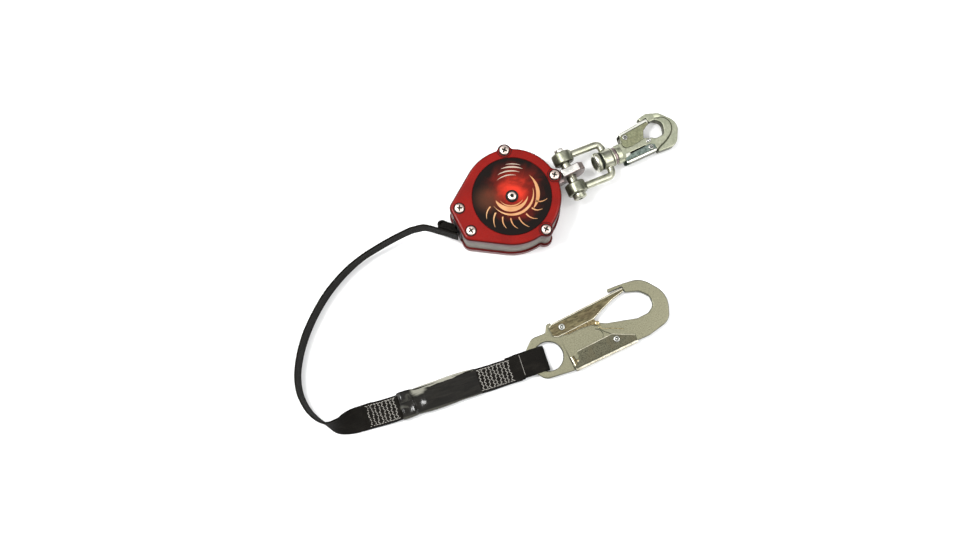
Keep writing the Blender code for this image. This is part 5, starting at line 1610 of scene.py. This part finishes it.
def make_hook_springs():
    """The gate's inner flange and its tab, the springs that close gate and lever, and the lever's curl."""
    # bright: a painted highlight and a painted shade, for the flange's, curl's and tongue's rims and walls.
    bright = ["edge_gold", "dark_zinc"]
    flange = rounded([(-38.0, 10.6, 1.0), (-30.0, 8.6, 6.0), (-18.0, 8.9, 12.0), (-6.0, 7.2, 3.0),
                      (-2.5, 4.6, 1.2), (-0.6, 5.6, 1.0), (-1.6, 12.6, 1.0), (-20.0, 13.0, 3.0),
                      (-38.0, 13.0, 0.8)])
    leaf = slab("gate_flange", flange, 8.25, 9.15, 0.35)
    finish_piece(leaf, "flange_bronze", "line_gate", "bronze_zinc", (), LINE_HOOK, bright,
                 sheet_zone(None, 0.0, 8.25, 9.15))
    tab_line = [(-3.4, 5.0, 1.6), (1.2, 4.2, 1.9), (2.2, 8.4, 1.9), (-2.4, 9.4, 1.6)]
    tab = slab("gate_tab", rounded(tab_line), 8.3, 10.5, 1.0)
    finish_piece(tab, "gold_zinc", "line_gate", "bronze_zinc", (), LINE_HOOK)
    wires = {"hook_spring": [(0.5, 4.0), (1.6, 0.6), (4.6, -1.4), (9.5, -3.2), (15.0, -6.0), (21.0, -9.6)],
             "hook_spring_leg": [(-1.2, 3.0), (0.2, -0.6), (3.4, -4.6), (7.2, -8.0)],
             "gate_spring": [(-4.6, 2.6), (-1.4, 0.0), (0.2, -3.4), (-0.4, -6.6), (-2.6, -9.6)]}
    for name, bends in wires.items():
        track = smooth_path([(x, y, 7.5) for x, y in bends], 8)
        look = "gold_zinc" if name == "hook_spring" else "dark_zinc"
        finish_piece(tube(name, track, 0.52, 12), look, "line_hook", "bronze_zinc", (), LINE_HOOK)
    turns = [k * pi / 8 for k in range(61)]
    coil = [(1.2 + 1.7 * cos(t), 1.6 + 1.7 * sin(t), 6.9 + 0.55 * k / 60) for k, t in enumerate(turns)]
    coil = tube("hook_spring_coil", coil, 0.45, 10)
    finish_piece(coil, "gold_zinc", "line_hook", "bronze_zinc", (), LINE_HOOK)

    def round_curl(x, turn):
        return 37.4 + 0.25 * (x + 17.6) / 4.8 + 2.3 * cos(turn), 9.35 + 1.05 * sin(turn)
    curl = loft("lever_curl", [-22.4 + 9.6 * k / 24 for k in range(25)], round_curl, 28)
    curl.data.transform(Matrix.Rotation(radians(90.0), 4, "Z"))

    # One slanting side of the curl is painted as a highlight (1), its ends and steep sides painted dark as
    # shade (2).
    def curl_zone(normal, at):
        return 1 if -0.5 < normal.x < -0.1 else 2 * (abs(normal.x) > 0.9 or abs(normal.y) > 0.7)
    finish_piece(curl, "bronze_zinc", "line_lock_lever", "bronze_zinc", (), LINE_HOOK, bright, curl_zone)
    tongue_line = [(-37.2, -23.6, 0.8), (-32.6, -22.8, 0.8), (-32.4, -17.6, 1.2), (-36.6, -17.6, 1.0)]
    tongue = slab("lever_tongue", rounded(tongue_line), 8.2, 9.1, 0.35)
    finish_piece(tongue, "gold_zinc", "line_lock_lever", "bronze_zinc", (), LINE_HOOK, bright,
                 sheet_zone(None, 0.0, 8.2, 9.1))


# ---------------------------------------------------------------- hidden pieces and the ground

HIDDEN = {"brass": ["rear_bush", "front_bush"] + ["threaded_insert_" + c for c in "abcde"],
          "dark_steel": ["axle_shaft", "ratchet_ring", "drum_hub", "drum_flange"],
          "bright_steel": ["pawl_pin_a", "pawl_pin_b", "pawl_a", "pawl_b"],
          "spring_steel": ["pawl_spring_a", "pawl_spring_b", "power_spring"],
          "webbing": ["webbing_coil"]}


def dress_hidden_nodes():
    for look, names in HIDDEN.items():
        for name in names:
            mesh = CAD[name].data
            spots = [c / MM for v in mesh.vertices for c in v.co]
            for field_name in ("local", "strap"):
                field = mesh.attributes.new(field_name, "FLOAT_VECTOR", "POINT")
                field.data.foreach_set("vector", spots)
            mesh.materials.clear()
            mesh.materials.append(LOOKS[look])


def make_ground():
    mesh = bpy.data.meshes.new("ground")
    shape = bmesh.new()
    bmesh.ops.create_grid(shape, x_segments=24, y_segments=24, size=GROUND_HALF)
    shape.to_mesh(mesh)
    shape.free()
    mesh.materials.append(floor_look("floor"))
    ground = bpy.data.objects.new("ground", mesh)
    ground.location = (0, 0, -GROUND_DROP)
    bpy.context.scene.collection.objects.link(ground)


def light_scene():
    """A white studio: a bright ceiling that falls away to dark walls, a soft box on each side, and two
    small lights for the glints on film and metal."""
    world = bpy.data.worlds.new("studio")
    world.use_nodes = True
    tree = world.node_tree
    spot = tree.nodes.new("ShaderNodeTexCoord")
    split = tree.nodes.new("ShaderNodeSeparateXYZ")
    tree.links.new(spot.outputs["Generated"], split.inputs[0])
    ramp = tree.nodes.new("ShaderNodeValToRGB")
    ramp.color_ramp.elements.new(0.5)
    sky = ((0.10, (0.10, 0.10, 0.11, 1)), (0.5, (0.34, 0.34, 0.35, 1)), (0.86, (0.98, 0.99, 1.0, 1)))
    for stop, (height, color) in zip(ramp.color_ramp.elements, sky):
        stop.position = height
        stop.color = color
    tree.links.new(split.outputs["Z"], ramp.inputs[0])
    back = tree.nodes["Background"]
    tree.links.new(ramp.outputs["Color"], back.inputs["Color"])
    back.inputs["Strength"].default_value = 1.2
    bpy.context.scene.world = world
    bpy.context.scene.view_settings.view_transform = "Standard"
    add_area("key", (-0.75, 0.95, 1.05), (-0.03, -0.05, 0), (1.2, 0.9), 14.0)
    add_area("fill", (0.75, -0.95, 1.0), (0.0, -0.06, 0), (1.1, 0.8), 12.0)
    add_area("glint_far", (-0.55, 0.25, 1.35), (-0.03, -0.08, 0), (0.30, 0.30), 15.0)
    add_area("glint_near", (0.62, -0.2, 1.3), (-0.03, -0.08, 0), (0.11, 0.11), 2.2)


def main():
    aim_camera()
    webbing, path, length = make_lifeline()
    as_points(path)
    make_tail_and_stop()
    make_covers()
    make_label()
    make_screws()
    make_axle_end()
    make_exit()
    make_lug()
    make_shackle()
    make_swivel()
    make_anchor_hook()
    make_pack()
    make_sleeve()
    make_loop()
    make_line_hook()
    make_hook_springs()
    dress_hidden_nodes()
    make_ground()
    light_scene()


main()
